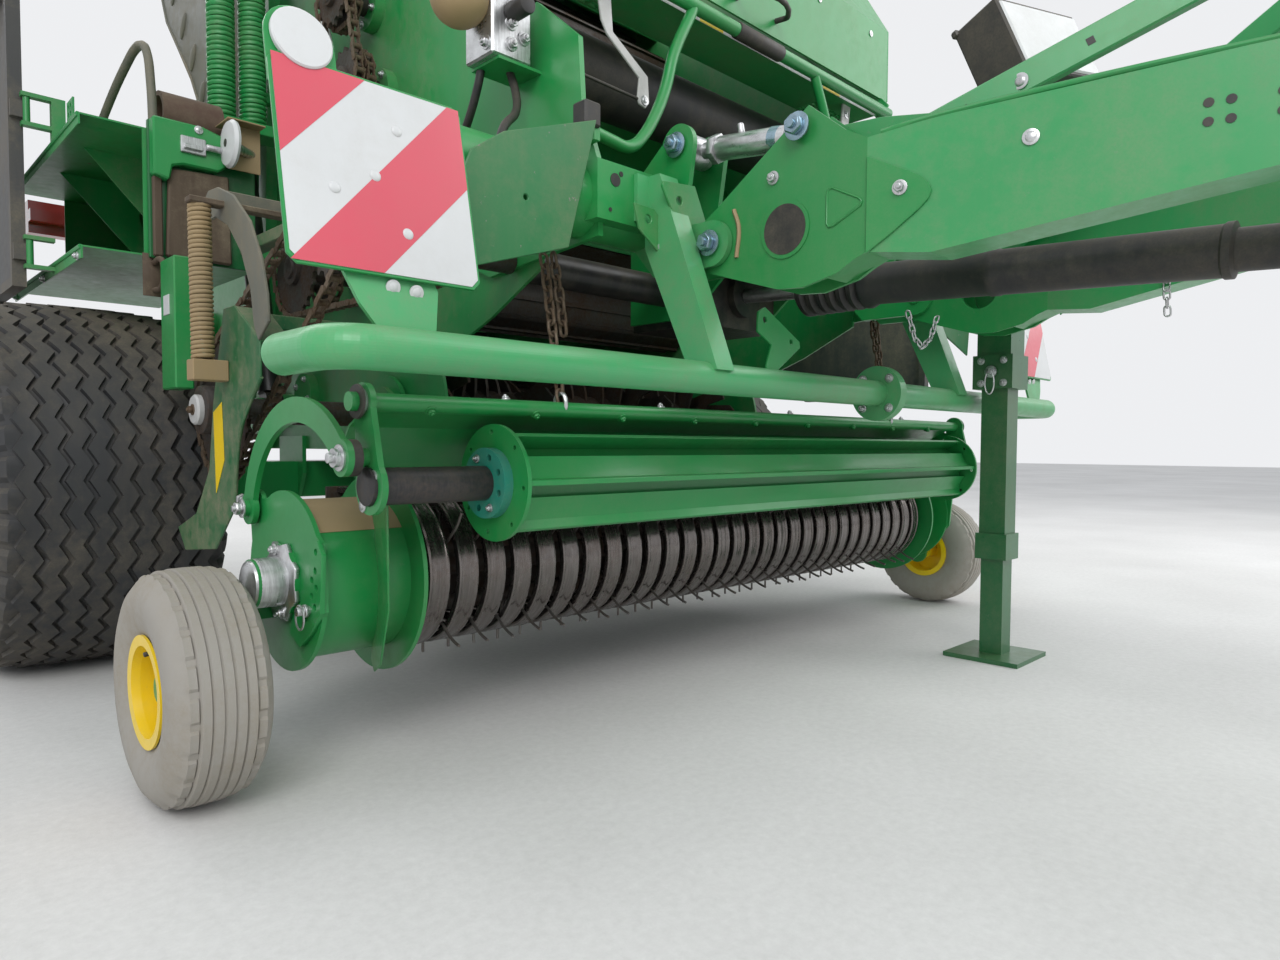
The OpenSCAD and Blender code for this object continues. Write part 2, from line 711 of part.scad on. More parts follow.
module hold_chains() {
    low = wind[1] + wind_d / 2 + 6;
    color("dimgray") for (x = [-wall_out - gusset_t - 70, 530])
        rod([x, wind[0] + 2, low], [x, cross_y + 20, 945 - 2], 16);
}

// Net box

module net_box() {
    color("green") {
        both_sides() {
            block([wall_out, 322, 2110], [wall_out + 50, 342, 2225]);
            along_x(wall_out + 42, 8) difference() {
                polygon([[270, 2215], [270, 2258], [318, 2258], [342, 2225], [342, 2110], [322, 2110], [322, 2200]]);
                translate(lid_hinge) circle(d = 24 + 2 * fit);
            }
        }
        both_sides() along_x(wall_out, 6) polygon([[-120, 1580], [-120, 1800], [40, 2060], [290, 2190],
            [420, 2150], [300, 1990], [100, 1700], [100, 1580]]);
        block([-wall_out, -120, 1574], [wall_out, -60, 1580.5]);
        block([-wall_out, 15, 1574], [wall_out, 20 - seat, 1640]);
        difference() {
            block([-wall_out, -62, 1574], [wall_out, 20 - seat, 1579]);
            both_sides() for (i = [0 : 5]) for (j = [0 : 2])
                block([400 + i * 32, -52 + j * 24, 1570], [424 + i * 32, -36 + j * 24, 1582]);
        }
    }
}

module net_drum() {
    color("#222222") {
        bar_x(-560, 560, [110, 1470], 170);
        bar_x(-wall_in, wall_in, [110, 1470], 40);
    }
}

lid_points = [[-140, 1620], [-140, 1830], [20, 2100], [290, 2232]];
lid_hinge = [294, 2236];

module net_lid() {
    color("green") {
        along_x(-wall_out - 38, 2 * wall_out + 76) strip(lid_points, -6);
        bar_x(-wall_out - 56, wall_out + 56, lid_hinge, 24);
    }
}

// Gearbox and power shaft

module gearbox() {
    color("#333333") {
        difference() {
            union() {
                block([-140 + seat, gearbox_y, 872], [140 - seat, 150, 1066]);
                translate([0, gearbox_y + 2, pto_z]) rotate([90, 0, 0]) cylinder(d = 110, h = 22);
            }
            translate([0, gearbox_y, pto_z]) rotate([90 + pto_tilt, 0, 0]) translate([0, 0, -60])
                cylinder(d = 36 + 2 * fit, h = 200);
        }
        at_right() bar_x(138, wall_in, [30, 965], 76);
    }
}

module along_pto() translate([0, gearbox_y, pto_z]) rotate([90 + pto_tilt, 0, 0]) children();

module pto_shaft() {
    color("silver") along_pto() {
        translate([0, 0, -40]) cylinder(d = 36, h = 240);
        translate([0, 0, 190]) cylinder(d = 84, h = 70);
        translate([0, 0, 240]) cylinder(d = 44, h = 1340);
        difference() {
            union() {
                translate([0, 0, 1560]) cylinder(d = 44, h = 60);
                translate([0, 0, 1600]) cylinder(d = 84, h = 70);
                translate([0, 0, 1660]) cylinder(d = 62, h = 60);
            }
            translate([0, 0, 1650]) cylinder(d = pto_bore_d, h = 80);
        }
    }
}

module pto_guard() {
    ridges = [for (i = [0 : 6]) each [[54 - i * 1.5, 200 + i * 26], [62 - i * 1.5, 213 + i * 26]]];
    color("#181818") along_pto() rotate_extrude() polygon(concat(ridges, [[45, 390], [45, 1040], [36, 1044], [36, 1500], [50, 1590], [54, 1620],
            [51, 1622], [30, 1500], [30, 1050], [22.6, 1048], [22.6, 1034], [38, 1030], [38, 400], [48, 200]]));
}

// Drive on the right-hand side: a belt of chain around two wheels

function unit(a) = [cos(a), sin(a)];

// The outline of a belt around two wheels, with flats that touch them
module loop(p, r, q, s) {
    a = atan2(q[1] - p[1], q[0] - p[0]);
    b = acos((r - s) / norm(q - p));
    n = 12;
    polygon(concat(
        [for (i = [0 : n]) let (w = (360 - 2 * b) / n) p + r / cos(w / 2) * unit(a + b + i * w)],
        [for (i = [0 : n]) let (w = 2 * b / n) q + s / cos(w / 2) * unit(a - b + i * w)]));
}

input_at = [30, 965];
rotor_at = [rotor_y, rotor_z];
chain_h = 14;
// x, first wheel, its radius, second wheel, its radius
runs = [[1020, rotor_at, 150, input_at, 78],
    [800, on_ring(213), 110, input_at, 62],
    [720, on_ring(213), 70, on_ring(194), 70],
    [690, on_ring(194), 70, on_ring(175), 70],
    [720, on_ring(175), 70, on_ring(156), 70],
    [690, on_ring(156), 70, on_ring(137), 70]];

module drive_sprockets() {
    color("gray") at_right() {
        bar_x(wall_out + gusset_t + seat, 1050, input_at, 50);
        bar_x(wall_out + 32 + seat, 1080, rotor_at, 60);
        bar_x(1036, 1080, rotor_at, 110);
        for (a = [213, 194, 175, 156, 137])
            bar_x(wall_out + bearing_w + seat, a == 213 ? 830 : 740, on_ring(a), 50);
        for (run = runs) {
            bar_x(run[0], run[0] + 14, run[1], 2 * (run[2] - seat));
            bar_x(run[0], run[0] + 14, run[3], 2 * (run[4] - seat));
        }
    }
}

module drive_chains() {
    color("#6b5a45") at_right() for (run = runs) along_x(run[0] - 6, 26) difference() {
        loop(run[1], run[2] + chain_h, run[3], run[4] + chain_h);
        loop(run[1], run[2], run[3], run[4]);
    }
}

module chain_guard() {
    color("green") at_right() {
        along_x(1092, 5) polygon([[180, 770], [310, 850], [370, 850], [440, 660], [470, 520], [560, 420], [690, 380],
            [640, 330], [440, 350], [330, 440], [290, 600], [180, 700]]);
        along_x(1056, 40) strip([[180, 765], [306, 843]], 5);
        block([wall_out + seat, 320, 812], [1093, 350, 842]);
    }
}

module coil(r, r_wire, turns, pitch) {
    // A spring drawn as a stack of ridges around a core
    rotate_extrude($fn = 32) polygon(concat([[0, 0]], [for (i = [0 : turns - 1]) each [[r - r_wire, i * pitch],
        [r, i * pitch + pitch / 2]]], [[r - r_wire, turns * pitch], [0, turns * pitch]]));
}

module springs() {
    color("green") at_right() {
        for (s = [[900, 945], [820, 945]]) translate([s[0], s[1], 1440]) coil(36, 10, 36, 17);
        block([wall_out + seat, 905, 1410], [950, 985, 1440.3]);
        block([wall_out + bearing_w + seat, 905, 1440 + 36 * 17 - 1], [950, 985, 1440 + 36 * 17 + 20]);
    }
    color("tan") at_right() translate([1140, 360, 742]) coil(23, 7, 28, 11);
    color("tan") at_right() block([1092 + 5 + seat, 340, 700], [1165, 380, 742.5]);
    color("tan") at_right() block([wall_out + seat, 345, 742 + 28 * 11 - 1], [1165, 375, 742 + 28 * 11 + 12]);
}

module valve_block() {
    color("silver") at_right() {
        block([650, -75, 1336], [745, 20, 1470]);
        translate([790, -30, 1440]) sphere(d = 115);
        bar_x(740, 760, [-30, 1440], 40);
    }
}

// Boxes over the main wheels

rack = [[860, 830], [1250, 1680]];
rack_z = [1000, 1030, 1330];

module twine_boxes() {
    a = rack[0];
    b = rack[1];
    color("green") both_sides() {
        block([a[0], a[1], rack_z[1] - 4], [b[0], b[1], rack_z[1]]);
        block([b[0] - 4, a[1], rack_z[0]], [b[0], b[1], rack_z[1]]);
        block([a[0], a[1], rack_z[2] - 4], [b[0], b[1], rack_z[2]]);
        block([b[0] - 4, a[1], rack_z[2] - 26], [b[0], b[1], rack_z[2]]);
        block([a[0], a[1], rack_z[1] - 2], [a[0] + 4, b[1], rack_z[2]]);
        for (y = [a[1], b[1] - 4]) block([a[0], y, rack_z[1] - 2], [b[0] - 130, y + 4, rack_z[2]]);
        for (y = [1080, 1360]) along_y(y, 4) difference() {
            polygon([[a[0], rack_z[1] - 2], [a[0] + 60, rack_z[1] - 2], [b[0] - 60, rack_z[2] - 2],
                [a[0], rack_z[2] - 2]]);
            translate([a[0] + 90, rack_z[2] - 90]) circle(r = 45);
        }
        along_x(wall_out + seat, a[0] - wall_out) polygon([[850, 1040], [850, 1100], [910, 1100], [910, 1040]]);
        for (z = [1009, 1081]) block([b[0] - 2, 1109, z], [door_x + 12, 1131, z + 10]);
        for (z = [1359, 1431]) block([b[0] - 30, 1109, z], [door_x + 12, 1131, z + 10]);
        block([b[0] - 30, 1109, rack_z[2] - 2], [b[0], 1131, 1441]);
    }
}

module control_box() {
    color("dimgray") block([180, cross_y - 50, cross_z + cross_d / 2 + 4 + seat], [350, cross_y + 50, 1290]);
}

module hose_supports() {
    color("green") {
        for (x = [50, 130]) block([x, -1490, 1090 + seat], [x + 30, -1450, 1330]);
        for (x = [50, 130]) along_x(x, 30) polygon([[-1490, 1290], [-1450, 1330], [-1900, 1400], [-1930, 1440],
            [-1945, 1430], [-1920, 1370]]);
    }
}

// Jack

module jack_sleeve() {
    color("darkgreen") difference() {
        union() {
            block([jack_x - sleeve_side / 2, jack_y - sleeve_side / 2, sleeve_low],
                [jack_x + sleeve_side / 2, jack_y + sleeve_side / 2, sleeve_top]);
            block([jack_x - sleeve_side / 2 - 8, jack_y - sleeve_side / 2 - 8, sleeve_low],
                [jack_x + sleeve_side / 2 + 8, jack_y + sleeve_side / 2 + 8, sleeve_low + 90]);
            block([jack_x - sleeve_side / 2 - 40 + seat, -575, 1010], [jack_x - sleeve_side / 2 + 1, -495, 1120]);
        }
        block([jack_x - leg_side / 2 - seat, jack_y - leg_side / 2 - seat, sleeve_low - 1],
            [jack_x + leg_side / 2 + seat, jack_y + leg_side / 2 + seat, sleeve_top - 8]);
    }
}

module jack_leg() {
    color("darkgreen") difference() {
        union() {
            block([jack_x - leg_side / 2, jack_y - leg_side / 2, leg_low],
                [jack_x + leg_side / 2, jack_y + leg_side / 2, leg_low + 630]);
            block([jack_x - leg_side / 2 - 7, jack_y - leg_side / 2 - 7, leg_low],
                [jack_x + leg_side / 2 + 7, jack_y + leg_side / 2 + 7, leg_low + 70]);
            bar_x(jack_x + leg_side / 2, jack_x + leg_side / 2 + 60, [jack_y, leg_low + 40], 16);
        }
        block([jack_x - 30 - seat, jack_y - 30 - seat, leg_low - 1],
            [jack_x + 30 + seat, jack_y + 30 + seat, leg_low + 560]);
    }
}

module jack_foot() {
    color("darkgreen") {
        block([jack_x - 30, jack_y - 30, foot_t - 1], [jack_x + 30, jack_y + 30, 500]);
        block([jack_x - foot_side / 2, jack_y - foot_side / 2, 0], [jack_x + foot_side / 2, jack_y + foot_side / 2, foot_t]);
    }
}

// Tailgate

module gate_side() {
    top_y = part_y(gate_top) + gate_gap / 2;
    low_y = part_y(640) + gate_gap / 2;
    difference() {
        union() {
            along_x(wall_in, wall_t) intersection() {
                translate([chamber_y, chamber_z]) circle(r = shell_r + shell_t + 24);
                polygon([[top_y, gate_top], [low_y, 640], [low_y + 300, 560], [2400, 560], [2400, gate_top]]);
            }
            for (a = rear_angles) bar_x(wall_out - 1, wall_out + bearing_w, on_ring(a), bearing_d);
            along_x(wall_out - 1, upright_x + 1) polygon([[top_y + 2, gate_top - 5], [top_y + 64, gate_top - 40],
                [part_y(700) + gate_gap / 2 + 62, 700], [part_y(700) + gate_gap / 2 + 2, 700]]);
            // Boss for the pin, which stays in the cylinder rod's eye
            bar_x(wall_out - 1, cyl_x - cyl_w / 2 - 3, cyl_eye, 60);
        }
    }
}

module gate_sides() color("green") both_sides() gate_side();

module gate_shell() {
    top_y = part_y(gate_top) + gate_gap / 2;
    color("green") {
        arc_x(-wall_in, 2 * wall_in, [chamber_y, chamber_z], shell_r, shell_r + shell_t, -22, 89.2);
        for (a = [-18, 2, 22, 42, 62, 80]) let (p = on_ring(a, shell_r + shell_t - 1))
            along_x(-wall_in, 2 * wall_in) translate(p) rotate(a) square([30, 40], center = true);
    }
    // Hinge pins and their lugs
    color("green") both_sides() {
        bar_x(540, wall_out + upright_x + 6, [hinge_y, hinge_z], cyl_pin_d);
        along_x(560, 40) polygon([[hinge_y - 22, hinge_z + 22], [hinge_y + 24, hinge_z + 24],
            [top_y + 60, 2283], [top_y + 60, 2262], [top_y + 4, 2275], [hinge_y - 22, hinge_z - 20]]);
    }
}

module rear_lamps() {
    color("#a01010") both_sides() {
        block([wall_out + seat, 1990, 1310], [wall_out + 40, 2090, 1390]);
        block([wall_out + 30, 2040, 1330], [1150, 2080, 1370]);
        block([930, 2080 - 1, 1295], [1150, 2130, 1405]);
    }
}

// Tailgate cylinders: the barrel turns on the frame, the rod slides in it

cyl_len = norm(cyl_eye - cyl_base);
cyl_tilt = atan2(cyl_eye[1] - cyl_base[1], cyl_eye[0] - cyl_base[0]);

module along_cylinder() translate([cyl_x, cyl_base[0], cyl_base[1]]) rotate([cyl_tilt - 90, 0, 0]) children();

module gate_barrel() {
    color("#222222") along_cylinder() difference() {
        union() {
            translate([-cyl_w / 2, 0, 0]) rotate([0, 90, 0]) cylinder(d = 70, h = cyl_w);
            translate([0, 0, 32]) cylinder(d = gate_barrel_d, h = cyl_barrel_len - 32);
        }
        translate([-cyl_w / 2 - 1, 0, 0]) rotate([0, 90, 0]) cylinder(d = cyl_pin_d + 2 * fit, h = cyl_w + 2);
        translate([0, 0, 60]) cylinder(d = gate_rod_d + 2 * fit, h = cyl_barrel_len);
    }
}

module gate_rod() {
    color("silver") along_cylinder() {
        translate([-cyl_w / 2, 0, cyl_len]) rotate([0, 90, 0]) cylinder(d = 64, h = cyl_w);
        translate([-cyl_w / 2, 0, cyl_len]) rotate([0, 90, 0]) cylinder(d = cyl_pin_d, h = cyl_w + 20);
        translate([0, 0, 600]) cylinder(d = gate_rod_d, h = cyl_len - 620);
    }
}

module gate_barrel_left() gate_barrel();
module gate_barrel_right() at_right() gate_barrel();
module gate_rod_left() gate_rod();
module gate_rod_right() at_right() gate_rod();

// Side doors, hinged on a post at their rear edge: distance from the hinge, height

door_points = [[16, 965], [330, 965], [560, 760], [door_len, 760], [door_len, 1560], [door_len - 90, 1700],
    [16, 1800]];

// side is 1 for a closed door in front of the hinge, -1 for one folded back
module door(side) {
    x0 = side > 0 ? door_x - 5 - door_t : door_x + 5;
    color("green") {
        difference() {
            along_x(x0, door_t) polygon([for (p = door_points) [1120 - side * p[0], p[1]]]);
            along_x(side > 0 ? x0 - 1 : x0 + 4, door_t - 3) polygon([for (p = door_points)
                [1120 - side * (p[0] + (p[0] > 400 ? -24 : 24)), p[1] + (p[1] > 1300 ? -24 : 24)]]);
        }
        for (z = [1020, 1370]) {
            translate([door_x, 1120, z - 0.5]) cylinder(d = 16, h = 61);
            block([min(door_x, x0 + 2), min(1120, 1120 - side * 20), z + 10],
                [max(door_x, x0 + door_t - 2), max(1120, 1120 - side * 20), z + 50]);
        }
    }
}

module door_left() door(1);
module door_right() at_right() door(-1);

side_wall_right();
side_wall_left();
front_beam();
drawbar();
hitch_eye();
top_links();
axle();
guard_tube();
warning_boards();
net_box();
net_drum();
net_lid();
front_rollers();
feed_floor();
roof();
gearbox();
pto_guard();
pto_shaft();
drive_sprockets();
drive_chains();
chain_guard();
springs();
valve_block();
twine_boxes();
control_box();
hose_supports();
jack_sleeve();
jack_leg();
jack_foot();
tyre_right();
rim_right();
tyre_left();
rim_left();
pickup_frame();
stripper_bands();
reel();
gauge_tyre_right();
gauge_rim_right();
gauge_tyre_left();
gauge_rim_left();
press_arms();
press_roller();
hold_chains();
rotor();
gate_sides();
gate_shell();
rear_rollers();
rear_lamps();
gate_barrel_right();
gate_rod_right();
gate_barrel_left();
gate_rod_left();
door_right();
door_left();
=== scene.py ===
"""A fixed-chamber round baler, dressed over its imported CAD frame.

Laid out as an add-on: the sizes and colours are properties, and each piece or
group of like pieces has its own operator. Metres; -Y forward, +X the machine's left.
"""
import math
import random

import bpy
from mathutils import Matrix, Vector


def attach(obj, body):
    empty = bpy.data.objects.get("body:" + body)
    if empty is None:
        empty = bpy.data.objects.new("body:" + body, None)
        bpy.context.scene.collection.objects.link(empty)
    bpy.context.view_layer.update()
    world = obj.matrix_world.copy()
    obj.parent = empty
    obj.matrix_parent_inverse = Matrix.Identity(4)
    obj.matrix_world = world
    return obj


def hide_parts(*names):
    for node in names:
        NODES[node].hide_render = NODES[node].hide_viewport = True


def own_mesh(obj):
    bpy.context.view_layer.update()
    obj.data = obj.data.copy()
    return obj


bl_info = {
    "name": "Round Baler Pieces",
    "version": (1, 0, 0),
    "blender": (4, 5, 0),
    "location": "View3D > Sidebar > Baler",
    "description": "Models and finishes the visible pieces of a round baler",
    "category": "Add Mesh",
}

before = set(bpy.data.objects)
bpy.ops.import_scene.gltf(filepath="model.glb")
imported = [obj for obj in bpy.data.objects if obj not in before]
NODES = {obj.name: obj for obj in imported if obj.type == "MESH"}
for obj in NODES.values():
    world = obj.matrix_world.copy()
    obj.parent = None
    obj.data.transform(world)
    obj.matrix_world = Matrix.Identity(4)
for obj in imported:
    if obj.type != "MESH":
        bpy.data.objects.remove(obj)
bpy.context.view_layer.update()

X, Y, Z = Vector((1, 0, 0)), Vector((0, 1, 0)), Vector((0, 0, 1))
RIGHT, LEFT = -1, 1
SIDES = ((RIGHT, "right"), (LEFT, "left"))

# Axes that run across the machine, as (y, z)
REEL = (0.020, 0.335)
PRESS = (-0.245, 0.508)
ARM_PIN = (-0.235, 0.553)
WIND = (-0.224, 0.640)
ROTOR = (0.580, 0.650)
INPUT = (0.030, 0.965)
CHAMBER = (1.320, 1.420)
AXLE = (1.200, 0.466)
GAUGE = (0.000, 0.1875)
GUARD = (-0.430, 0.700)
FRONT_TUBE = (-0.190, 1.050)

# Just outside the right side wall, and just outside the bearing housings on it
WALL = -0.6133
HOUSING = -0.6415
PICKUP_END = 1.120
# Degrees round a loop of thin wire
ROUND = range(0, 360, 30)
BAND_RADIUS = 0.150
MAIN_TRACK = 1.19
GAUGE_TRACK = 1.28
ROLLER_CIRCLE = 0.735
FRONT_ROLLERS = (99, 118, 137, 156, 175, 194, 213, 250, 268.5)
REAR_ROLLERS = (80, 61, 42, 23, 4, -15, -34, -53, -72)
DRIVEN_ROLLERS = (213, 194, 175, 156, 137)
CHAIN_PITCH = 0.0318
BOARD_LEAN = math.radians(-11.5)
BEAM_LEAN = math.atan2(0.340, 1.340)
MATERIALS = {}


class BalerSizes(bpy.types.PropertyGroup):
    """Sizes of the pieces that the CAD frame leaves open."""

    tread_ribs: bpy.props.IntProperty(
        name="Tread ribs", description="Wavy ribs across a main tyre", default=9)
    tread_depth: bpy.props.FloatProperty(
        name="Tread depth", description="Depth of the grooves in a main tyre", default=0.011,
        subtype="DISTANCE")
    tread_waves: bpy.props.IntProperty(
        name="Tread waves", description="Waves round a main tyre", default=40)
    gauge_ribs: bpy.props.IntProperty(
        name="Gauge ribs", description="Ribs across a gauge tyre", default=7)
    tine_wire: bpy.props.FloatProperty(
        name="Tine wire", description="Diameter of a pickup tine's wire", default=0.0060,
        subtype="DISTANCE")
    bands: bpy.props.IntProperty(
        name="Bands", description="Stripper bands across the pickup", default=30)
    band_pitch: bpy.props.FloatProperty(
        name="Band pitch", description="From one stripper band to the next", default=0.062,
        subtype="DISTANCE")
    press_lips: bpy.props.IntProperty(
        name="Roller lips", description="Lips round the press roller", default=6)
    lens: bpy.props.FloatProperty(
        name="Lens", description="Focal length of the camera, in mm", default=23.625)


class BalerColours(bpy.types.PropertyGroup):
    """Base colours of the finishes."""

    green: bpy.props.FloatVectorProperty(
        name="Green", description="Paint of the machine", subtype="COLOR",
        default=(0.010, 0.250, 0.056))
    dark_green: bpy.props.FloatVectorProperty(
        name="Dark green", description="Paint of the parts in shade", subtype="COLOR",
        default=(0.006, 0.115, 0.032))
    turquoise: bpy.props.FloatVectorProperty(
        name="Turquoise", description="Primer of the roller's hub", subtype="COLOR",
        default=(0.010, 0.240, 0.170))
    yellow: bpy.props.FloatVectorProperty(
        name="Yellow", description="Paint of the gauge wheels' rims", subtype="COLOR",
        default=(0.90, 0.62, 0.005))
    dust: bpy.props.FloatVectorProperty(
        name="Dust", description="Dry dust and chaff", subtype="COLOR",
        default=(0.27, 0.225, 0.155))
    rubber: bpy.props.FloatVectorProperty(
        name="Rubber", description="Main tyres", subtype="COLOR",
        default=(0.030, 0.031, 0.033))
    worn_rubber: bpy.props.FloatVectorProperty(
        name="Worn rubber", description="Gauge tyres", subtype="COLOR",
        default=(0.34, 0.32, 0.285))
    red: bpy.props.FloatVectorProperty(
        name="Red", description="Stripes of the warning boards", subtype="COLOR",
        default=(0.60, 0.070, 0.105))


def sizes():
    return bpy.context.scene.baler_sizes


def colours():
    return bpy.context.scene.baler_colours


# Starting, shaping and keeping a piece


def clear():
    bpy.ops.object.select_all(action="DESELECT")


def select(*objects):
    clear()
    for o in objects:
        o.select_set(True)
    bpy.context.view_layer.objects.active = objects[0]


def start(kind, **options):
    clear()
    getattr(bpy.ops.mesh, "primitive_" + kind + "_add")(**options)
    return bpy.context.object


def edit(obj, *steps):
    """Runs mesh operators on the whole of obj in edit mode."""
    select(obj)
    bpy.ops.object.mode_set(mode="EDIT")
    bpy.ops.mesh.select_all(action="SELECT")
    for name, options in steps:
        getattr(bpy.ops.mesh, name)(**options)
    bpy.ops.object.mode_set(mode="OBJECT")
    return obj


def place(obj):
    select(obj)
    bpy.ops.object.transform_apply(location=True, rotation=True, scale=True)
    return obj


def modify(obj, kind, **settings):
    select(obj)
    m = obj.modifiers.new(kind.title(), kind)
    for key, value in settings.items():
        setattr(m, key, value)
    bpy.ops.object.modifier_apply(modifier=m.name)
    return obj


def soften(obj, width, segments):
    return modify(obj, "BEVEL", width=width, segments=segments, limit_method="ANGLE",
                  angle_limit=math.radians(40))


def outward(obj):
    """Merges doubles and points the faces outwards."""
    return edit(obj, ("remove_doubles", {"threshold": 1e-5}), ("normals_make_consistent", {"inside": False}))


def join(objects):
    if len(objects) > 1:
        select(*objects)
        bpy.ops.object.join()
    return objects[0]


def keep(obj, name, finish, body, replaces=(), angle=35):
    """Names a finished piece, gives it its finish and makes it ride on its body."""
    place(obj)
    obj.name = name
    obj.data.name = name
    obj.data.materials.clear()
    obj.data.materials.append(MATERIALS[finish])
    bpy.ops.object.shade_smooth_by_angle(angle=math.radians(angle))
    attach(obj, body)
    if replaces:
        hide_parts(*replaces)
    return obj


def block(a, b, edge=0.0):
    """A box between two corners, its edges softened."""
    a, b = Vector(a), Vector(b)
    obj = place(start("cube", size=1, location=(a + b) / 2, scale=b - a))
    return soften(obj, edge, 1) if edge else obj


def bar(p, q, r, n, edge=0.0):
    """A round bar from p to q."""
    p, q = Vector(p), Vector(q)
    turn = (q - p).to_track_quat("Z", "Y").to_euler()
    obj = start("cylinder", vertices=n, depth=(q - p).length, location=(p + q) / 2, rotation=turn, radius=r)
    place(obj)
    return soften(obj, edge, 2) if edge else obj


def plate(points, axis, at, thick, edge, holes=()):
    """A plate of sheet across an axis, with soft edges and round holes given as (a, b, radius)."""
    def spot(a, b, d):
        return {"X": (d, a, b), "Y": (a, d, b), "Z": (a, b, d)}[axis]

    obj = start("circle", vertices=len(points), fill_type="NGON")
    for v, (a, b) in zip(obj.data.vertices, points):
        v.co = spot(a, b, at)
    edit(obj, ("extrude_region_move", {"TRANSFORM_OT_translate": {"value": spot(0, 0, thick)}}))
    outward(obj)
    for a, b, r in holes:
        cutter = bar(spot(a, b, at - 0.01), spot(a, b, at + thick + 0.01), r, 28)
        modify(obj, "BOOLEAN", operation="DIFFERENCE", object=cutter, solver="EXACT")
        bpy.data.objects.remove(cutter)
    return soften(obj, edge, 1) if edge else obj


def around(centre, r, degrees, tall=None):
    """Places on a circle at the given angles, or on an oval that is tall high each way."""
    return [(centre[0] + r * math.cos(math.radians(d)), centre[1] + (tall or r) * math.sin(math.radians(d)))
            for d in degrees]


def mirrored(points, side):
    """Places given for the left side, moved to a side."""
    return [(side * p[0], *p[1:]) for p in points]


def side_block(side, a, b, edge=0.0):
    """A box on a side, from the corners it has on the left side."""
    near, far = sorted((side * a[0], side * b[0]))
    return block((near, *a[1:]), (far, *b[1:]), edge)


def keep_blocks(body, rows):
    """Keeps boxes given as (name, finish, corner, corner, softened edge)."""
    for name, look, a, b, edge in rows:
        keep(block(a, b, edge), name, look, body)


def keep_bars(body, rows):
    """Keeps round bars given as (name, finish, end, end, radius, sides, softened edge)."""
    for name, look, p, q, r, n, edge in rows:
        keep(bar(p, q, r, n, edge), name, look, body)


def ring_points(centre, r, n, a0=0, a1=360):
    """Corners evenly spread on an arc, in degrees, or round a whole circle."""
    step = (a1 - a0) / (n if a1 - a0 == 360 else n - 1)
    return around(centre, r, [a0 + i * step for i in range(n)])


def turned(profile, x, centre, steps):
    """A turned form round an axis along X through centre, from (radius, offset) corners."""
    obj = start("circle", vertices=len(profile), fill_type="NOTHING")
    for v, (r, dx) in zip(obj.data.vertices, profile):
        v.co = (x + dx, centre[0], centre[1] + r)
    edit(obj, ("spin", {"steps": steps, "angle": 2 * math.pi, "center": (x, *centre), "axis": (1, 0, 0)}))
    return outward(obj)


def tube(points, r, cyclic=False, sides=8, smooth=True):
    """A round rod or hose along points."""
    clear()
    bpy.ops.curve.primitive_bezier_curve_add()
    obj = bpy.context.object
    curve = obj.data
    curve.splines.remove(curve.splines[0])
    spline = curve.splines.new("BEZIER" if smooth else "POLY")
    ends = spline.bezier_points if smooth else spline.points
    ends.add(len(points) - 1)
    for end, p in zip(ends, points):
        end.co = p if smooth else (*p, 1)
        if smooth:
            end.handle_left_type = end.handle_right_type = "AUTO"
    spline.use_cyclic_u = cyclic
    curve.dimensions = "3D"
    curve.resolution_u = 6 if smooth else 1
    curve.bevel_depth = r
    curve.bevel_resolution = max(0, sides // 4 - 1)
    curve.use_fill_caps = True
    select(obj)
    bpy.ops.object.convert(target="MESH")
    return bpy.context.object


def copies(obj, matrices):
    """obj copied once for each matrix, and all of them as one mesh."""
    made = []
    for m in matrices:
        o = obj.copy()
        o.data = obj.data.copy()
        o.data.transform(m)
        bpy.context.collection.objects.link(o)
        made.append(o)
    bpy.data.objects.remove(obj)
    return join(made)


def facing(p, direction, spin=0.0):
    """Puts something that looks along +Z at p, looking along direction."""
    q = Vector(direction).to_track_quat("Z", "Y")
    return Matrix.Translation(Vector(p)) @ q.to_matrix().to_4x4() @ Matrix.Rotation(spin, 4, "Z")


def bolts(name, body, places, r, finish="zinc", head="hex"):
    """Bolt heads with washers: places are (point on the surface, direction outward)."""
    washer = bar((0, 0, -0.0008), (0, 0, 0.0022), r * 1.25, 20, 0.0004)
    if head == "hex":
        top = soften(bar((0, 0, 0.002), (0, 0, 0.002 + r * 0.8), r * 0.9, 6), r * 0.1, 1)
        one = join([washer, top, bar((0, 0, 0), (0, 0, 0.003 + r * 1.05), r * 0.42, 12, 0.0006)])
    else:
        top = place(start("uv_sphere", segments=16, ring_count=8, radius=r * 0.95, scale=(1, 1, 0.5)))
        one = join([washer, top])
    rnd = random.Random(len(places))
    made = copies(one, [facing(p, d, rnd.random() * 3) for p, d in places])
    return keep(made, name, finish, body)


# Finishes


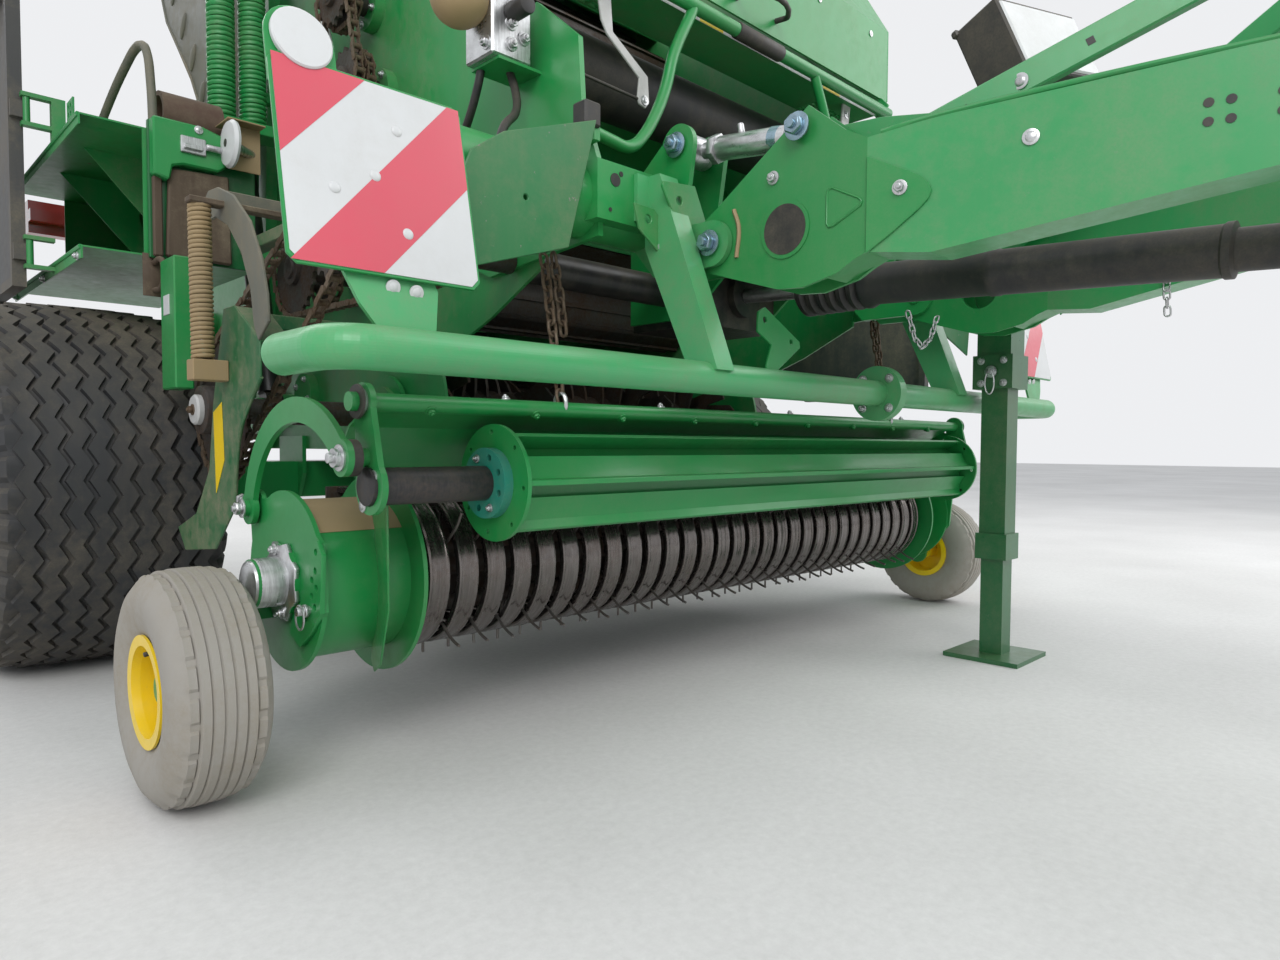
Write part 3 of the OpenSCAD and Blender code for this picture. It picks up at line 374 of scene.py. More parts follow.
class Nodes:
    """Adds nodes to a tree in a few words."""

    def __init__(self, tree):
        self.tree = tree

    def add(self, kind, values=(), **settings):
        node = self.tree.nodes.new("ShaderNode" + kind)
        for key, value in settings.items():
            setattr(node, key, value)
        for socket, value in dict(values).items():
            self.put(value, node.inputs[socket])
        return node

    def put(self, value, socket):
        if isinstance(value, bpy.types.NodeSocket):
            self.tree.links.new(value, socket)
        elif socket.type == "RGBA" and len(value) == 3:
            socket.default_value = (*value, 1)
        else:
            socket.default_value = value

    def math(self, operation, a, b, clamp=False):
        return self.add("Math", {0: a, 1: b}, operation=operation, use_clamp=clamp).outputs[0]

    def blend(self, a, share_a, b, share_b):
        return self.math("ADD", self.math("MULTIPLY", a, share_a), self.math("MULTIPLY", b, share_b))

    def scaled(self, vector, by):
        node = self.add("VectorMath", {0: vector}, operation="SCALE")
        self.put(by, node.inputs["Scale"])
        return node.outputs[0]

    def spread(self, value, low, high, to_low=0.0, to_high=1.0):
        return self.add("MapRange", {"Value": value, "From Min": low, "From Max": high,
                                     "To Min": to_low, "To Max": to_high}).outputs[0]

    def mix(self, factor, a, b):
        node = self.add("Mix", data_type="RGBA")
        self.put(factor, node.inputs[0])
        self.put(a, node.inputs[6])
        self.put(b, node.inputs[7])
        return node.outputs[2]

    def noise(self, scale, detail, rough, vector=None):
        node = self.add("TexNoise", {"Scale": scale, "Detail": detail, "Roughness": rough})
        self.put(vector or self.add("TexCoord").outputs["Object"], node.inputs["Vector"])
        return node.outputs[0]


def group(name, inputs, outputs):
    """A node group with named sockets, its nodes' helper, and its input and output sockets."""
    tree = bpy.data.node_groups.new(name, "ShaderNodeTree")
    kinds = {float: "NodeSocketFloat", tuple: "NodeSocketColor"}
    for key, value in inputs.items():
        socket = tree.interface.new_socket(name=key, in_out="INPUT", socket_type=kinds[type(value)])
        socket.default_value = (*value, 1) if isinstance(value, tuple) else value
    for key, kind in outputs.items():
        tree.interface.new_socket(name=key, in_out="OUTPUT", socket_type=kinds[kind])
    ends = tree.nodes.new("NodeGroupInput").outputs, tree.nodes.new("NodeGroupOutput").inputs
    return tree, Nodes(tree), ends


def weathered_group():
    """Paint with dust on what faces up, dirt in patches, and rubbed specks."""
    tree, n, (given, out) = group("Weathered", {
        "Paint": (0.1, 0.1, 0.1), "Dust": (0.3, 0.25, 0.2), "Under": (0.3, 0.28, 0.26), "Dirt": 0.3,
        "Chips": 0.1, "Gloss": 0.35, "Scale": 1.0}, {"Color": tuple, "Roughness": float, "Height": float})
    spot = n.scaled(n.add("TexCoord").outputs["Object"], given["Scale"])
    large = n.noise(3.0, 5, 0.65, spot)
    fine = n.noise(45.0, 5, 0.7, spot)
    grain = n.noise(260.0, 2, 0.5, spot)
    streak = n.add("Mapping", {"Vector": spot, "Scale": (22, 22, 2.5)}).outputs[0]
    runs = n.noise(1.0, 3, 0.6, streak)
    up = n.spread(n.add("SeparateXYZ", {0: n.add("NewGeometry").outputs["Normal"]}).outputs[2], 0.35, 1.0)
    patch = n.spread(n.blend(large, 0.7, fine, 0.3), 0.46, 0.66)
    film = n.math("MULTIPLY", n.spread(runs, 0.4, 0.75), 0.35)
    dirt = n.math("MULTIPLY", n.math("ADD", n.math("ADD", patch, film), n.math("MULTIPLY", up, 0.55)),
                  given["Dirt"], clamp=True)
    dirt = n.math("MULTIPLY", dirt, n.spread(grain, 0.25, 0.62, 0.55, 1.0), clamp=True)
    shade = n.spread(n.noise(1.2, 3, 0.5, spot), 0.3, 0.7, 0.86, 1.12)
    toned = n.scaled(given["Paint"], shade)
    chip = n.math("MULTIPLY", n.spread(n.noise(38.0, 4, 0.75, spot), 0.66, 0.70), given["Chips"], clamp=True)
    colour = n.mix(dirt, n.mix(chip, toned, given["Under"]), given["Dust"])
    n.put(colour, out["Color"])
    rough = n.math("ADD", given["Gloss"], n.math("MULTIPLY", dirt, 0.5))
    n.put(n.math("ADD", rough, n.spread(fine, 0.3, 0.7, -0.04, 0.06), clamp=True), out["Roughness"])
    n.put(n.blend(dirt, n.math("ADD", fine, grain), large, 0.15), out["Height"])
    return tree


def worked_group():
    """Bare steel: rubbed streaks, brown patches of rust and oily dust."""
    tree, n, (given, out) = group("Worked steel", {
        "Steel": (0.3, 0.3, 0.3), "Rust": (0.12, 0.06, 0.03), "Amount": 0.3, "Gloss": 0.3, "Scale": 1.0},
        {"Color": tuple, "Roughness": float, "Height": float})
    spot = n.scaled(n.add("TexCoord").outputs["Object"], given["Scale"])
    rubbed = n.noise(1.0, 4, 0.7, n.add("Mapping", {"Vector": spot, "Scale": (240, 18, 18)}).outputs[0])
    patch = n.noise(9.0, 6, 0.7, spot)
    speck = n.noise(120.0, 3, 0.6, spot)
    mask = n.spread(n.blend(patch, 0.65, speck, 0.35), 0.44, 0.62)
    mask = n.math("MULTIPLY", mask, given["Amount"], clamp=True)
    toned = n.scaled(given["Steel"], n.spread(rubbed, 0.3, 0.7, 0.7, 1.25))
    n.put(n.mix(mask, toned, given["Rust"]), out["Color"])
    rough = n.math("ADD", given["Gloss"], n.math("MULTIPLY", mask, 0.5))
    n.put(n.math("ADD", rough, n.spread(rubbed, 0.3, 0.7, -0.06, 0.10), clamp=True), out["Roughness"])
    n.put(n.blend(speck, mask, rubbed, 0.2), out["Height"])
    return tree


def finish(name, tree, values, metallic=0.0, coat=0.0, bump=0.25, distance=0.0006):
    """A material made of one Principled shader and one effect group."""
    material = bpy.data.materials.new(name)
    material.use_nodes = True
    n = Nodes(material.node_tree)
    shader = material.node_tree.nodes["Principled BSDF"]
    effect = n.add("Group", node_tree=tree)
    for key, value in values.items():
        n.put(value, effect.inputs[key])
    n.put(effect.outputs["Color"], shader.inputs["Base Color"])
    n.put(effect.outputs["Roughness"], shader.inputs["Roughness"])
    relief = n.add("Bump", {"Height": effect.outputs["Height"], "Strength": bump, "Distance": distance})
    n.put(relief.outputs[0], shader.inputs["Normal"])
    shader.inputs["Metallic"].default_value = metallic
    shader.inputs["Coat Weight"].default_value = coat
    shader.inputs["Coat Roughness"].default_value = 0.12
    MATERIALS[name] = material


class BALER_OT_finishes(bpy.types.Operator):
    """Makes the paints, steels, rubbers and plastics, and gives them to the CAD nodes"""

    bl_idname = "baler.finishes"
    bl_label = "Finishes"

    def execute(self, context):
        c = colours()
        paint, steel = weathered_group(), worked_group()
        dust = tuple(c.dust)

        def painted(name, colour, dirt, chips=0.15, gloss=0.3, coat=0.25, **more):
            values = {"Paint": tuple(colour), "Dust": dust, "Under": (0.20, 0.19, 0.17), "Dirt": dirt,
                      "Chips": chips, "Gloss": gloss}
            finish(name, paint, values, coat=coat, **more)

        def bare(name, colour, rust, gloss, metallic, tint=(0.10, 0.055, 0.030)):
            values = {"Steel": colour, "Rust": tint, "Amount": rust, "Gloss": gloss}
            finish(name, steel, values, metallic=metallic)

        painted("green", c.green, 0.14, 0.12, 0.34, 0.12)
        # Dust and painted sheen: extra dust lightens this green for the sky's sheen on the struts' brackets
        painted("green_dust_and_painted_sheen", c.green, 0.38, 0.15, 0.38, 0.10)
        painted("green_dusty", c.green, 0.36, 0.3, 0.4, 0.1)
        painted("green_speckled", (0.020, 0.160, 0.050), 0.34, 1.0, 0.45, 0.0)
        painted("grey_dirty", (0.115, 0.120, 0.095), 0.60, 0.3, 0.55, 0.0)
        painted("rust", (0.085, 0.045, 0.030), 0.40, 0.2, 0.65, 0.0)
        painted("door_inside", (0.050, 0.051, 0.052), 0.42, 0.0, 0.6, 0.0)
        # Dirt and painted shade: heavy dirt over the darker green for parts in shade
        painted("green_dirt_and_painted_shade", c.dark_green, 0.75, 0.4, 0.5, 0.0)
        # Painted shade: the darker green is for the parts that lie in shade
        painted("dark_green", c.dark_green, 0.22)
        painted("turquoise", c.turquoise, 0.25, 0.2, 0.45, 0.0)
        painted("yellow", c.yellow, 0.10, 0.25, 0.35)
        painted("black", (0.012, 0.012, 0.013), 0.28, 0.1, 0.4, 0.05)
        painted("plastic", (0.016, 0.016, 0.017), 0.22, 0.0, 0.5, 0.0)
        painted("tan", (0.34, 0.24, 0.12), 0.35, 0.3, 0.6, 0.0)
        painted("brown", (0.07, 0.045, 0.028), 0.7, 0.2, 0.7, 0.0)
        painted("white", (0.60, 0.61, 0.61), 0.14, 0.0, 0.4, 0.1)
        # Painted sheen: a paler, dustier green for the sky's sheen on the drawbar, the struts and the bracket
        # arms
        painted("green_painted_sheen", (0.030, 0.300, 0.090), 0.26, 0.15, 0.34, 0.12)
        # Painted reflection: a paler green along the guard tube for the sky's reflection on its glossy top,
        # with some dust
        painted("green_painted_reflection", (0.060, 0.360, 0.130), 0.30, 0.2, 0.32, 0.12)
        painted("white_speckled", (0.70, 0.70, 0.68), 0.22, 0.9, 0.5, 0.0)
        painted("silver_paint", (0.50, 0.50, 0.49), 0.25, 0.1, 0.4, 0.1)
        painted("red", c.red, 0.08, 0.0, 0.35, 0.2)
        painted("lamp", (0.42, 0.012, 0.012), 0.05, 0.0, 0.15, 0.6)
        painted("rubber", c.rubber, 0.34, 0.0, 0.62, 0.0, bump=0.5, distance=0.0012)
        painted("worn_rubber", c.worn_rubber, 0.55, 0.0, 0.75, 0.0, bump=0.6, distance=0.0012)
        bare("band_steel", (0.17, 0.155, 0.148), 0.24, 0.16, 0.92)
        bare("tine_steel", (0.16, 0.15, 0.14), 0.35, 0.38, 0.8)
        bare("dark_steel", (0.075, 0.068, 0.062), 0.75, 0.5, 0.6)
        bare("steel", (0.42, 0.42, 0.42), 0.30, 0.32, 0.9)
        bare("zinc", (0.60, 0.61, 0.62), 0.18, 0.28, 0.9)
        bare("blue_zinc", (0.30, 0.42, 0.50), 0.10, 0.25, 0.9)
        bare("chrome", (0.75, 0.75, 0.76), 0.05, 0.10, 1.0)
        bare("chain", (0.16, 0.12, 0.085), 0.8, 0.5, 0.6, tint=(0.11, 0.065, 0.035))
        bare("rod_tube", (0.034, 0.033, 0.034), 0.32, 0.38, 0.3, tint=(0.15, 0.11, 0.08))
        given = {
            "green": "front_beam net_lid roof gate_shell gate_sides door_right door_left axle"
                     " pickup_frame press_arms hose_supports press_roller",
            "green_dusty": "twine_boxes net_box springs side_wall_right side_wall_left",
            "green_painted_sheen": "drawbar", "green_painted_reflection": "guard_tube", "green_dirt_and_painted_shade": "chain_guard",
            # The jack takes the darker green of painted shade
            "dark_green": "jack_sleeve jack_leg jack_foot",
            "dark_steel": "front_rollers rear_rollers feed_floor rotor",
            "band_steel": "stripper_bands", "tine_steel": "reel",
            "steel": "hitch_eye pto_shaft drive_sprockets",
            "zinc": "top_links hold_chains valve_block", "chrome": "gate_rod_right gate_rod_left",
            "black": "gearbox gate_barrel_right gate_barrel_left net_drum",
            "plastic": "pto_guard control_box", "chain": "drive_chains",
            "rubber": "tyre_right tyre_left", "silver_paint": "rim_right rim_left",
            "worn_rubber": "gauge_tyre_right gauge_tyre_left", "yellow": "gauge_rim_right gauge_rim_left",
            "white": "warning_boards", "lamp": "rear_lamps"}
        for key, names in given.items():
            for name in names.split():
                cad = NODES[name]
                cad.data.materials.clear()
                cad.data.materials.append(MATERIALS[key])
        # The doors' inner faces; the drawbar's head, in plain green apart from the painted sheen of the rest;
        # and the struts down to the guard tube, in the paler green of painted sheen
        repaint("door_right", "door_inside", lambda spot: spot.x < -1.3075)
        repaint("door_left", "door_inside", lambda spot: spot.x < 1.2925)
        repaint("drawbar", "green", lambda spot: abs(spot.x) > 0.36 and spot.y > -0.722)
        repaint("front_beam", "green_painted_sheen", lambda spot: abs(abs(spot.x) - 0.475) < 0.032 and spot.z < 1.0)
        return {"FINISHED"}


def repaint(node, key, inside):
    """Gives another finish to the faces of a CAD node whose middle passes a test."""
    mesh = NODES[node].data
    mesh.materials.append(MATERIALS[key])
    slot = len(mesh.materials) - 1
    for face in mesh.polygons:
        if inside(face.center):
            face.material_index = slot


class BALER_OT_stage(bpy.types.Operator):
    """Makes the camera, the soft light and the pale floor"""

    bl_idname = "baler.stage"
    bl_label = "Stage"

    def execute(self, context):
        scene = context.scene
        scene.view_settings.view_transform = "Standard"
        clear()
        bpy.ops.object.camera_add(location=(-1.710, -1.458, 0.573))
        camera = context.object
        camera.data.sensor_width = 36
        camera.data.lens = sizes().lens
        camera.data.clip_start = 0.02
        yaw, pitch, roll = math.radians(44.8), math.radians(-2.32), math.radians(-0.24)
        look = Vector((math.sin(yaw) * math.cos(pitch), math.cos(yaw) * math.cos(pitch), math.sin(pitch)))
        turn = look.to_track_quat("-Z", "Y").to_matrix() @ Matrix.Rotation(-roll, 3, "Z")
        camera.rotation_euler = turn.to_euler()
        scene.camera = camera

        floor = start("plane", size=60)
        floor.name = "floor"
        material = bpy.data.materials.new("floor")
        material.use_nodes = True
        n = Nodes(material.node_tree)
        shader = material.node_tree.nodes["Principled BSDF"]
        broad = n.noise(0.8, 5, 0.6)
        grit = n.noise(60.0, 4, 0.7)
        tone = n.blend(broad, 0.6, grit, 0.4)
        shades = n.mix(n.spread(tone, 0.3, 0.7), (0.56, 0.55, 0.53), (0.74, 0.73, 0.71))
        n.put(shades, shader.inputs["Base Color"])
        shader.inputs["Roughness"].default_value = 0.9
        relief = n.add("Bump", {"Height": grit, "Strength": 0.3, "Distance": 0.002})
        n.put(relief.outputs[0], shader.inputs["Normal"])
        floor.data.materials.append(material)

        world = bpy.data.worlds.new("studio")
        scene.world = world
        world.use_nodes = True
        n = Nodes(world.node_tree)
        back = world.node_tree.nodes["Background"]
        seen = n.add("LightPath")
        rays = n.math("MAXIMUM", seen.outputs["Is Camera Ray"], seen.outputs["Is Glossy Ray"])
        n.put(n.mix(rays, (0.80, 0.83, 0.88), (0.90, 0.91, 0.93)), back.inputs["Color"])
        n.put(n.spread(rays, 0, 1, 0.92, 0.95), back.inputs["Strength"])
        lamps = (((-4.5, -4.5, 5.0), 4.0, 270), ((4.5, -3.0, 4.5), 5.0, 160), ((0, 5.5, 5.5), 5.0, 180))
        for spot, size, power in lamps:
            clear()
            bpy.ops.object.light_add(type="AREA", location=spot)
            lamp = context.object
            lamp.data.size = size
            lamp.data.energy = power
            lamp.rotation_euler = (Vector((0, 0, 0.8)) - Vector(spot)).to_track_quat("-Z", "Y").to_euler()
        return {"FINISHED"}


# Tyres and wheels


def grooved_profile(ribs, width, r, depth, gap, shoulder):
    """(radius, offset) corners across a tread: flat ribs with grooves between them."""
    pitch = width / ribs
    points = []
    for i in range(ribs):
        a = -width / 2 + i * pitch + gap / 2
        b = a + pitch - gap
        drop = shoulder * (abs(a + b) / width) ** 3
        points += [(r - depth - drop, a - 0.001), (r - drop, a + 0.001), (r - drop * 1.1, (a + b) / 2),
                   (r - drop, b - 0.001), (r - depth - drop, b + 0.001)]
    return points


def tyre_section(side, tread, inner):
    """A whole cross-section from one outer sidewall, the tread and half of the inside, in order."""
    loop = side + tread + [(r, -x) for r, x in reversed(side)]
    return loop + [(r, -x) for r, x in inner] + [(r, x) for r, x in reversed(inner)]


class BALER_OT_main_tyres(bpy.types.Operator):
    """Models the wide tyres with wavy ribs and shoulder lugs"""

    bl_idname = "baler.main_tyres"
    bl_label = "Main tyres"

    def execute(self, context):
        s = sizes()
        side = [(0.2163, -0.193), (0.236, -0.207), (0.262, -0.226), (0.300, -0.243), (0.352, -0.249),
                (0.400, -0.246), (0.432, -0.232), (0.446, -0.218)]
        tread = grooved_profile(s.tread_ribs, 0.404, 0.466, s.tread_depth, 0.011, 0.016)
        inner = [(0.232, -0.172), (0.296, -0.213), (0.376, -0.221), (0.430, -0.185)]
        loop = tyre_section(side, tread, inner)
        steps_per_wave, tread_half, tread_low, wall_low, wave, lug = 6, 0.213, 0.436, 0.395, 0.0105, 0.010
        for x, tag in ((-MAIN_TRACK, "right"), (MAIN_TRACK, "left")):
            tyre = turned(loop, x, AXLE, s.tread_waves * steps_per_wave)
            for v in tyre.data.vertices:
                y, z = v.co.y - AXLE[0], v.co.z - AXLE[1]
                r, angle = math.hypot(y, z), math.atan2(z, y)
                dx = v.co.x - x
                if r > tread_low and abs(dx) < tread_half:
                    v.co.x += wave * math.asin(math.sin(angle * s.tread_waves + 0.6)) * 0.64
                elif wall_low < r and abs(dx) > tread_half:
                    pull = lug if math.sin(angle * s.tread_waves) < -0.15 else 0.0
                    v.co.y -= y / r * pull
                    v.co.z -= z / r * pull
                    v.co.x -= math.copysign(pull * 0.5, dx)
            keep(tyre, "main_tyre_" + tag, "rubber", "wheel_" + tag, ["tyre_" + tag], 28)
        return {"FINISHED"}


class BALER_OT_gauge_tyres(bpy.types.Operator):
    """Models the small ribbed tyres with notched shoulders, their nuts, hubs and valves"""

    bl_idname = "baler.gauge_tyres"
    bl_label = "Gauge wheels"

    def execute(self, context):
        s = sizes()
        y0, z0 = GAUGE
        side = [(0.0762, -0.056), (0.088, -0.062), (0.104, -0.069), (0.125, -0.0742), (0.146, -0.0745),
                (0.162, -0.069), (0.172, -0.061)]
        tread = grooved_profile(s.gauge_ribs, 0.112, 0.1875, 0.0030, 0.0026, 0.010)
        loop = tyre_section(side, tread, [(0.086, -0.050), (0.135, -0.060), (0.163, -0.052)])
        shoulder_low, notches, notch = 0.168, 48, 0.0034
        for out, tag in SIDES:
            x, body = out * GAUGE_TRACK, "gauge_wheel_" + tag
            tyre = turned(loop, x, GAUGE, 240)
            for v in tyre.data.vertices:
                r, angle = math.hypot(v.co.y, v.co.z - z0), math.atan2(v.co.z - z0, v.co.y)
                shoulder = r > shoulder_low and 0.042 < abs(v.co.x - x) < 0.058
                if shoulder and int((angle + 7) * notches / math.pi) % 4 == 0:
                    scale = 1 - notch / r
                    v.co.y *= scale
                    v.co.z = z0 + (v.co.z - z0) * scale
            keep(tyre, "gauge_tyre_piece_" + tag, "worn_rubber", body, ["gauge_tyre_" + tag], 30)
            face = x + out * 0.0005
            spots = [((face + out * 0.004, 0.043 * math.cos(a), z0 + 0.043 * math.sin(a)), (out, 0, 0))
                     for a in (0.3, 1.87, 3.44, 5.01)]
            bolts("gauge_nuts_" + tag, body, spots, 0.0075)
            hub = turned([(0.0135, 0.0), (0.027, 0.0), (0.027, 0.020), (0.020, 0.034), (0.0135, 0.034)],
                         face if out > 0 else face - 0.034, GAUGE, 28)
            keep(hub, "gauge_hub_" + tag, "yellow", body)
            stem = bar((x + out * 0.045, y0, z0 + 0.062), (x + out * 0.066, y0, z0 + 0.058), 0.004, 10, 0.001)
            keep(stem, "gauge_valve_" + tag, "plastic", body)
        return {"FINISHED"}


class BALER_OT_wheel_bolts(bpy.types.Operator):
    """Adds wheel nuts, hub caps and valves to the main wheels"""

    bl_idname = "baler.wheel_bolts"
    bl_label = "Main wheel nuts"

    def execute(self, context):
        for out, tag in SIDES:
            x, body = out * MAIN_TRACK, "wheel_" + tag
            spots = [((x + out * 0.0645, *p), (out, 0, 0)) for p in around(AXLE, 0.1025, range(15, 375, 60))]
            bolts("wheel_nuts_" + tag, body, spots, 0.017)
            cap = turned([(0.0, 0.0), (0.046, 0.0), (0.046, 0.018), (0.040, 0.026), (0.0, 0.028)],
                         x + 0.080 if out > 0 else x - 0.108, AXLE, 32)
            if out < 0:
                for v in cap.data.vertices:
                    v.co.x = 2 * (x - 0.094) - v.co.x
                outward(cap)
            keep(cap, "hub_cap_" + tag, "silver_paint", body)
            root = (x + out * 0.172, AXLE[0] + 0.165, AXLE[1])
            tip = (x + out * 0.215, AXLE[0] + 0.158, AXLE[1])
            valve = bar(root, tip, 0.006, 12, 0.001)
            keep(valve, "wheel_valve_" + tag, "zinc", body)
        return {"FINISHED"}


# Pickup


class BALER_OT_bands(bpy.types.Operator):
    """Models the polished stripper bands and the sheet that they end on"""

    bl_idname = "baler.bands"
    bl_label = "Stripper bands"

    def execute(self, context):
        s = sizes()
        y0, z0 = REEL
        r = BAND_RADIUS
        path = [(0.240, z0 - r, 0, -1), (0.130, z0 - r, 0, -1)]
        path += [(y0 - r * math.sin(a), z0 - r * math.cos(a), -math.sin(a), -math.cos(a))
                 for a in [math.pi * i / 22 for i in range(23)]]
        path += [(0.130, z0 + r, 0, 1), (0.240, z0 + r, 0, 1)]
        cross = [(-0.0215, -0.0125), (-0.0222, -0.0050), (-0.0205, -0.0012), (-0.0165, 0.0),
                 (-0.0140, -0.0016), (-0.0060, -0.0006), (0.0060, -0.0006), (0.0140, -0.0016), (0.0165, 0.0),
                 (0.0205, -0.0012), (0.0222, -0.0050), (0.0215, -0.0125)]
        band = start("grid", x_subdivisions=len(cross) - 1, y_subdivisions=len(path) - 1, size=1)
        for i, v in enumerate(band.data.vertices):
            (y, z, ny, nz), (dx, up) = path[i // len(cross)], cross[i % len(cross)]
            v.co = (dx, y + ny * up, z + nz * up)
        edit(band, ("normals_make_consistent", {"inside": False}))
        modify(band, "SOLIDIFY", thickness=0.0018, offset=-1)
        places = [(i - (s.bands - 1) / 2) * s.band_pitch for i in range(s.bands)]
        made = copies(band, [Matrix.Translation((x, 0, 0)) for x in places])
        keep(made, "stripper_bands_steel", "band_steel", "pickup", ["stripper_bands"], 40)
        back = block((-0.9447, 0.2380, z0 - r - 0.001), (0.9447, 0.2430, z0 + r + 0.001), 0.001)
        keep(back, "stripper_back_sheet", "dark_steel", "pickup")
        spots = [((x, 0.215, z0 + r + 0.0002), (0, 0, 1)) for x in places]
        bolts("band_bolts", "pickup", spots, 0.0055, "tine_steel", "dome")
        return {"FINISHED"}


class BALER_OT_reel(bpy.types.Operator):
    """Models the camless reel: shaft, discs, tine bars and sprung wire tines"""

    bl_idname = "baler.reel"
    bl_label = "Reel"

    def execute(self, context):
        s = sizes()
        rows, bar_circle, first = 5, 0.097, 6
        turns = [first + 360 * k / rows for k in range(rows)]
        parts = [bar((-1.100, *REEL), (1.100, *REEL), 0.025, 24)]
        for x in (-0.912, -0.310, 0.302, 0.904):
            parts.append(bar((x, *REEL), (x + 0.008, *REEL), 0.116, 40, 0.001))
        parts += [bar((-0.920, *p), (0.920, *p), 0.0145, 14) for p in around(REEL, bar_circle, turns)]
        keep(join(parts), "reel_bars", "dark_steel", "reel", ["reel"])
        coil = [(0.011 * t / 16 - 0.0055, bar_circle + 0.0175 * math.cos(t * math.pi / 4),
                 0.0175 * math.sin(t * math.pi / 4)) for t in range(17)]
        shank = [(0.0045, 0.122, 0.008), (0.003, 0.150, 0.006), (0.0015, 0.178, 0.001), (0.0, 0.200, -0.008),
                 (0.0, 0.2065, -0.0115)]
        tine = tube(coil + shank, s.tine_wire / 2, sides=8)
        moves = []
        for k, turn in enumerate(turns):
            for i in range(s.bands - 1):
                x = (i - (s.bands - 2) / 2) * s.band_pitch
                bend = random.Random(k * 100 + i).uniform(-0.035, 0.035)
                moves.append(Matrix.Translation((x, *REEL))
                             @ Matrix.Rotation(math.radians(turn) + bend * 0.5, 4, "X"))
        keep(copies(tine, moves), "reel_tines", "tine_steel", "reel", angle=50)
        return {"FINISHED"}


class BALER_OT_press_roller(bpy.types.Operator):
    """Models the crop press roller with its lips, end discs, hubs and worn shaft"""

    bl_idname = "baler.press_roller"
    bl_label = "Press roller"

    def execute(self, context):
        s = sizes()
        y0, z0 = PRESS
        step = 2 * math.pi / s.press_lips
        lip = ((0.0, 0.096), (-0.10, 0.0965), (-0.14, 0.080), (-0.36, 0.070), (-0.72, 0.072))
        points = []
        for k in range(s.press_lips):
            a = k * step + math.radians(62)
            points += [(y0 + r * math.cos(a + turn * step), z0 + r * math.sin(a + turn * step))
                       for turn, r in lip]
        drum = plate(points[::-1], "X", -0.860, 1.720, 0.0012)
        keep(drum, "press_drum", "green", "press_roller", ["press_roller"], 30)
        hub_circle = 0.046
        for side, tag in SIDES:
            x = side * 0.862
            holes = [(*p, 0.0042) for p in around(PRESS, 0.088, range(40, 360, 48))]
            disc = plate(ring_points(PRESS, 0.102, 64), "X", x - 0.004, 0.008, 0.0012, holes)
            keep(disc, "press_disc_" + tag, "green", "press_roller", angle=25)
            inner, outer = x + side * 0.003, x + side * 0.022
            holes = [(*p, 0.0062) for p in around(PRESS, hub_circle, range(20, 380, 45))]
            hub = plate(ring_points(PRESS, 0.061, 48), "X", min(inner, outer), 0.019, 0.002, holes)
            keep(hub, "press_hub_" + tag, "turquoise", "press_roller", angle=25)
            end = 0.978 if side > 0 else 1.101
            shaft = bar((x + side * 0.001, *PRESS), (side * end, *PRESS), 0.0298, 40, 0.001)
            keep(shaft, "press_shaft_" + tag, "rod_tube", "press_roller")
            spots = [((outer, *p), (side, 0, 0)) for p in around(PRESS, hub_circle, (65, 245))]
            bolts("press_hub_bolts_" + tag, "press_roller", spots, 0.006)
        return {"FINISHED"}


class BALER_OT_press_fittings(bpy.types.Operator):
    """Adds bolts, washers and rubber rings to the press roller's arms and wind guard"""

    bl_idname = "baler.press_fittings"
    bl_label = "Press arms' fittings"

    def execute(self, context):
        nut = [(0.0, 0.0), (0.0205, 0.0), (0.0205, 0.003), (0.0145, 0.004), (0.0145, 0.012), (0.008, 0.012),
               (0.008, 0.020), (0.0, 0.021)]
        for side, tag, plate_x, arch_x in ((RIGHT, "right", -1.095, -1.136), (LEFT, "left", 0.972, 0.989)):
            right = side < 0
            rings = (
                ("wind_washer_", [(0.0150, 0.0), (0.0215, 0.0), (0.0215, 0.006), (0.0150, 0.006)],
                 plate_x - 0.0062 if right else plate_x + 0.0002, WIND, 32, "zinc"),
                ("wind_ring_", [(0.0155, 0.0), (0.0265, 0.0), (0.0275, 0.004), (0.0155, 0.004)],
                 plate_x - 0.0105 if right else plate_x + 0.0065, WIND, 32, "plastic"),
                ("arm_nut_", [(r, -d) for r, d in nut[::-1]] if right else nut, arch_x, ARM_PIN, 28, "zinc"),
                ("arm_rubber_", [(0.0205, 0.0), (0.0285, 0.0), (0.0285, 0.014), (0.0205, 0.014)],
                 -1.1255 if right else 0.9650, ARM_PIN, 32, "plastic"))
            for name, profile, x, centre, steps, look in rings:
                keep(turned(profile, x, centre, steps), name + tag, look, "press")
            spots = [((plate_x, -0.262, 0.524), (side, 0, 0)), ((plate_x, -0.226, 0.478), (side, 0, 0))]
            bolts("arm_bolts_" + tag, "press", spots, 0.0085, "zinc", "dome")
        spots = [((-0.98 + i * 0.217, WIND[0] - 0.0095, WIND[1] - 0.0105), (0, -0.7, -0.7)) for i in range(9)]
        bolts("wind_bolts", "press", spots, 0.0075, "green")
        spots = [((x, WIND[0] + 0.004, WIND[1] + 0.0138), (0, 0.2, 1)) for x in (-0.82, -0.42, 0.05, 0.62)]
        bolts("wind_top_bolts", "press", spots, 0.007)
        return {"FINISHED"}


# Pickup's ends


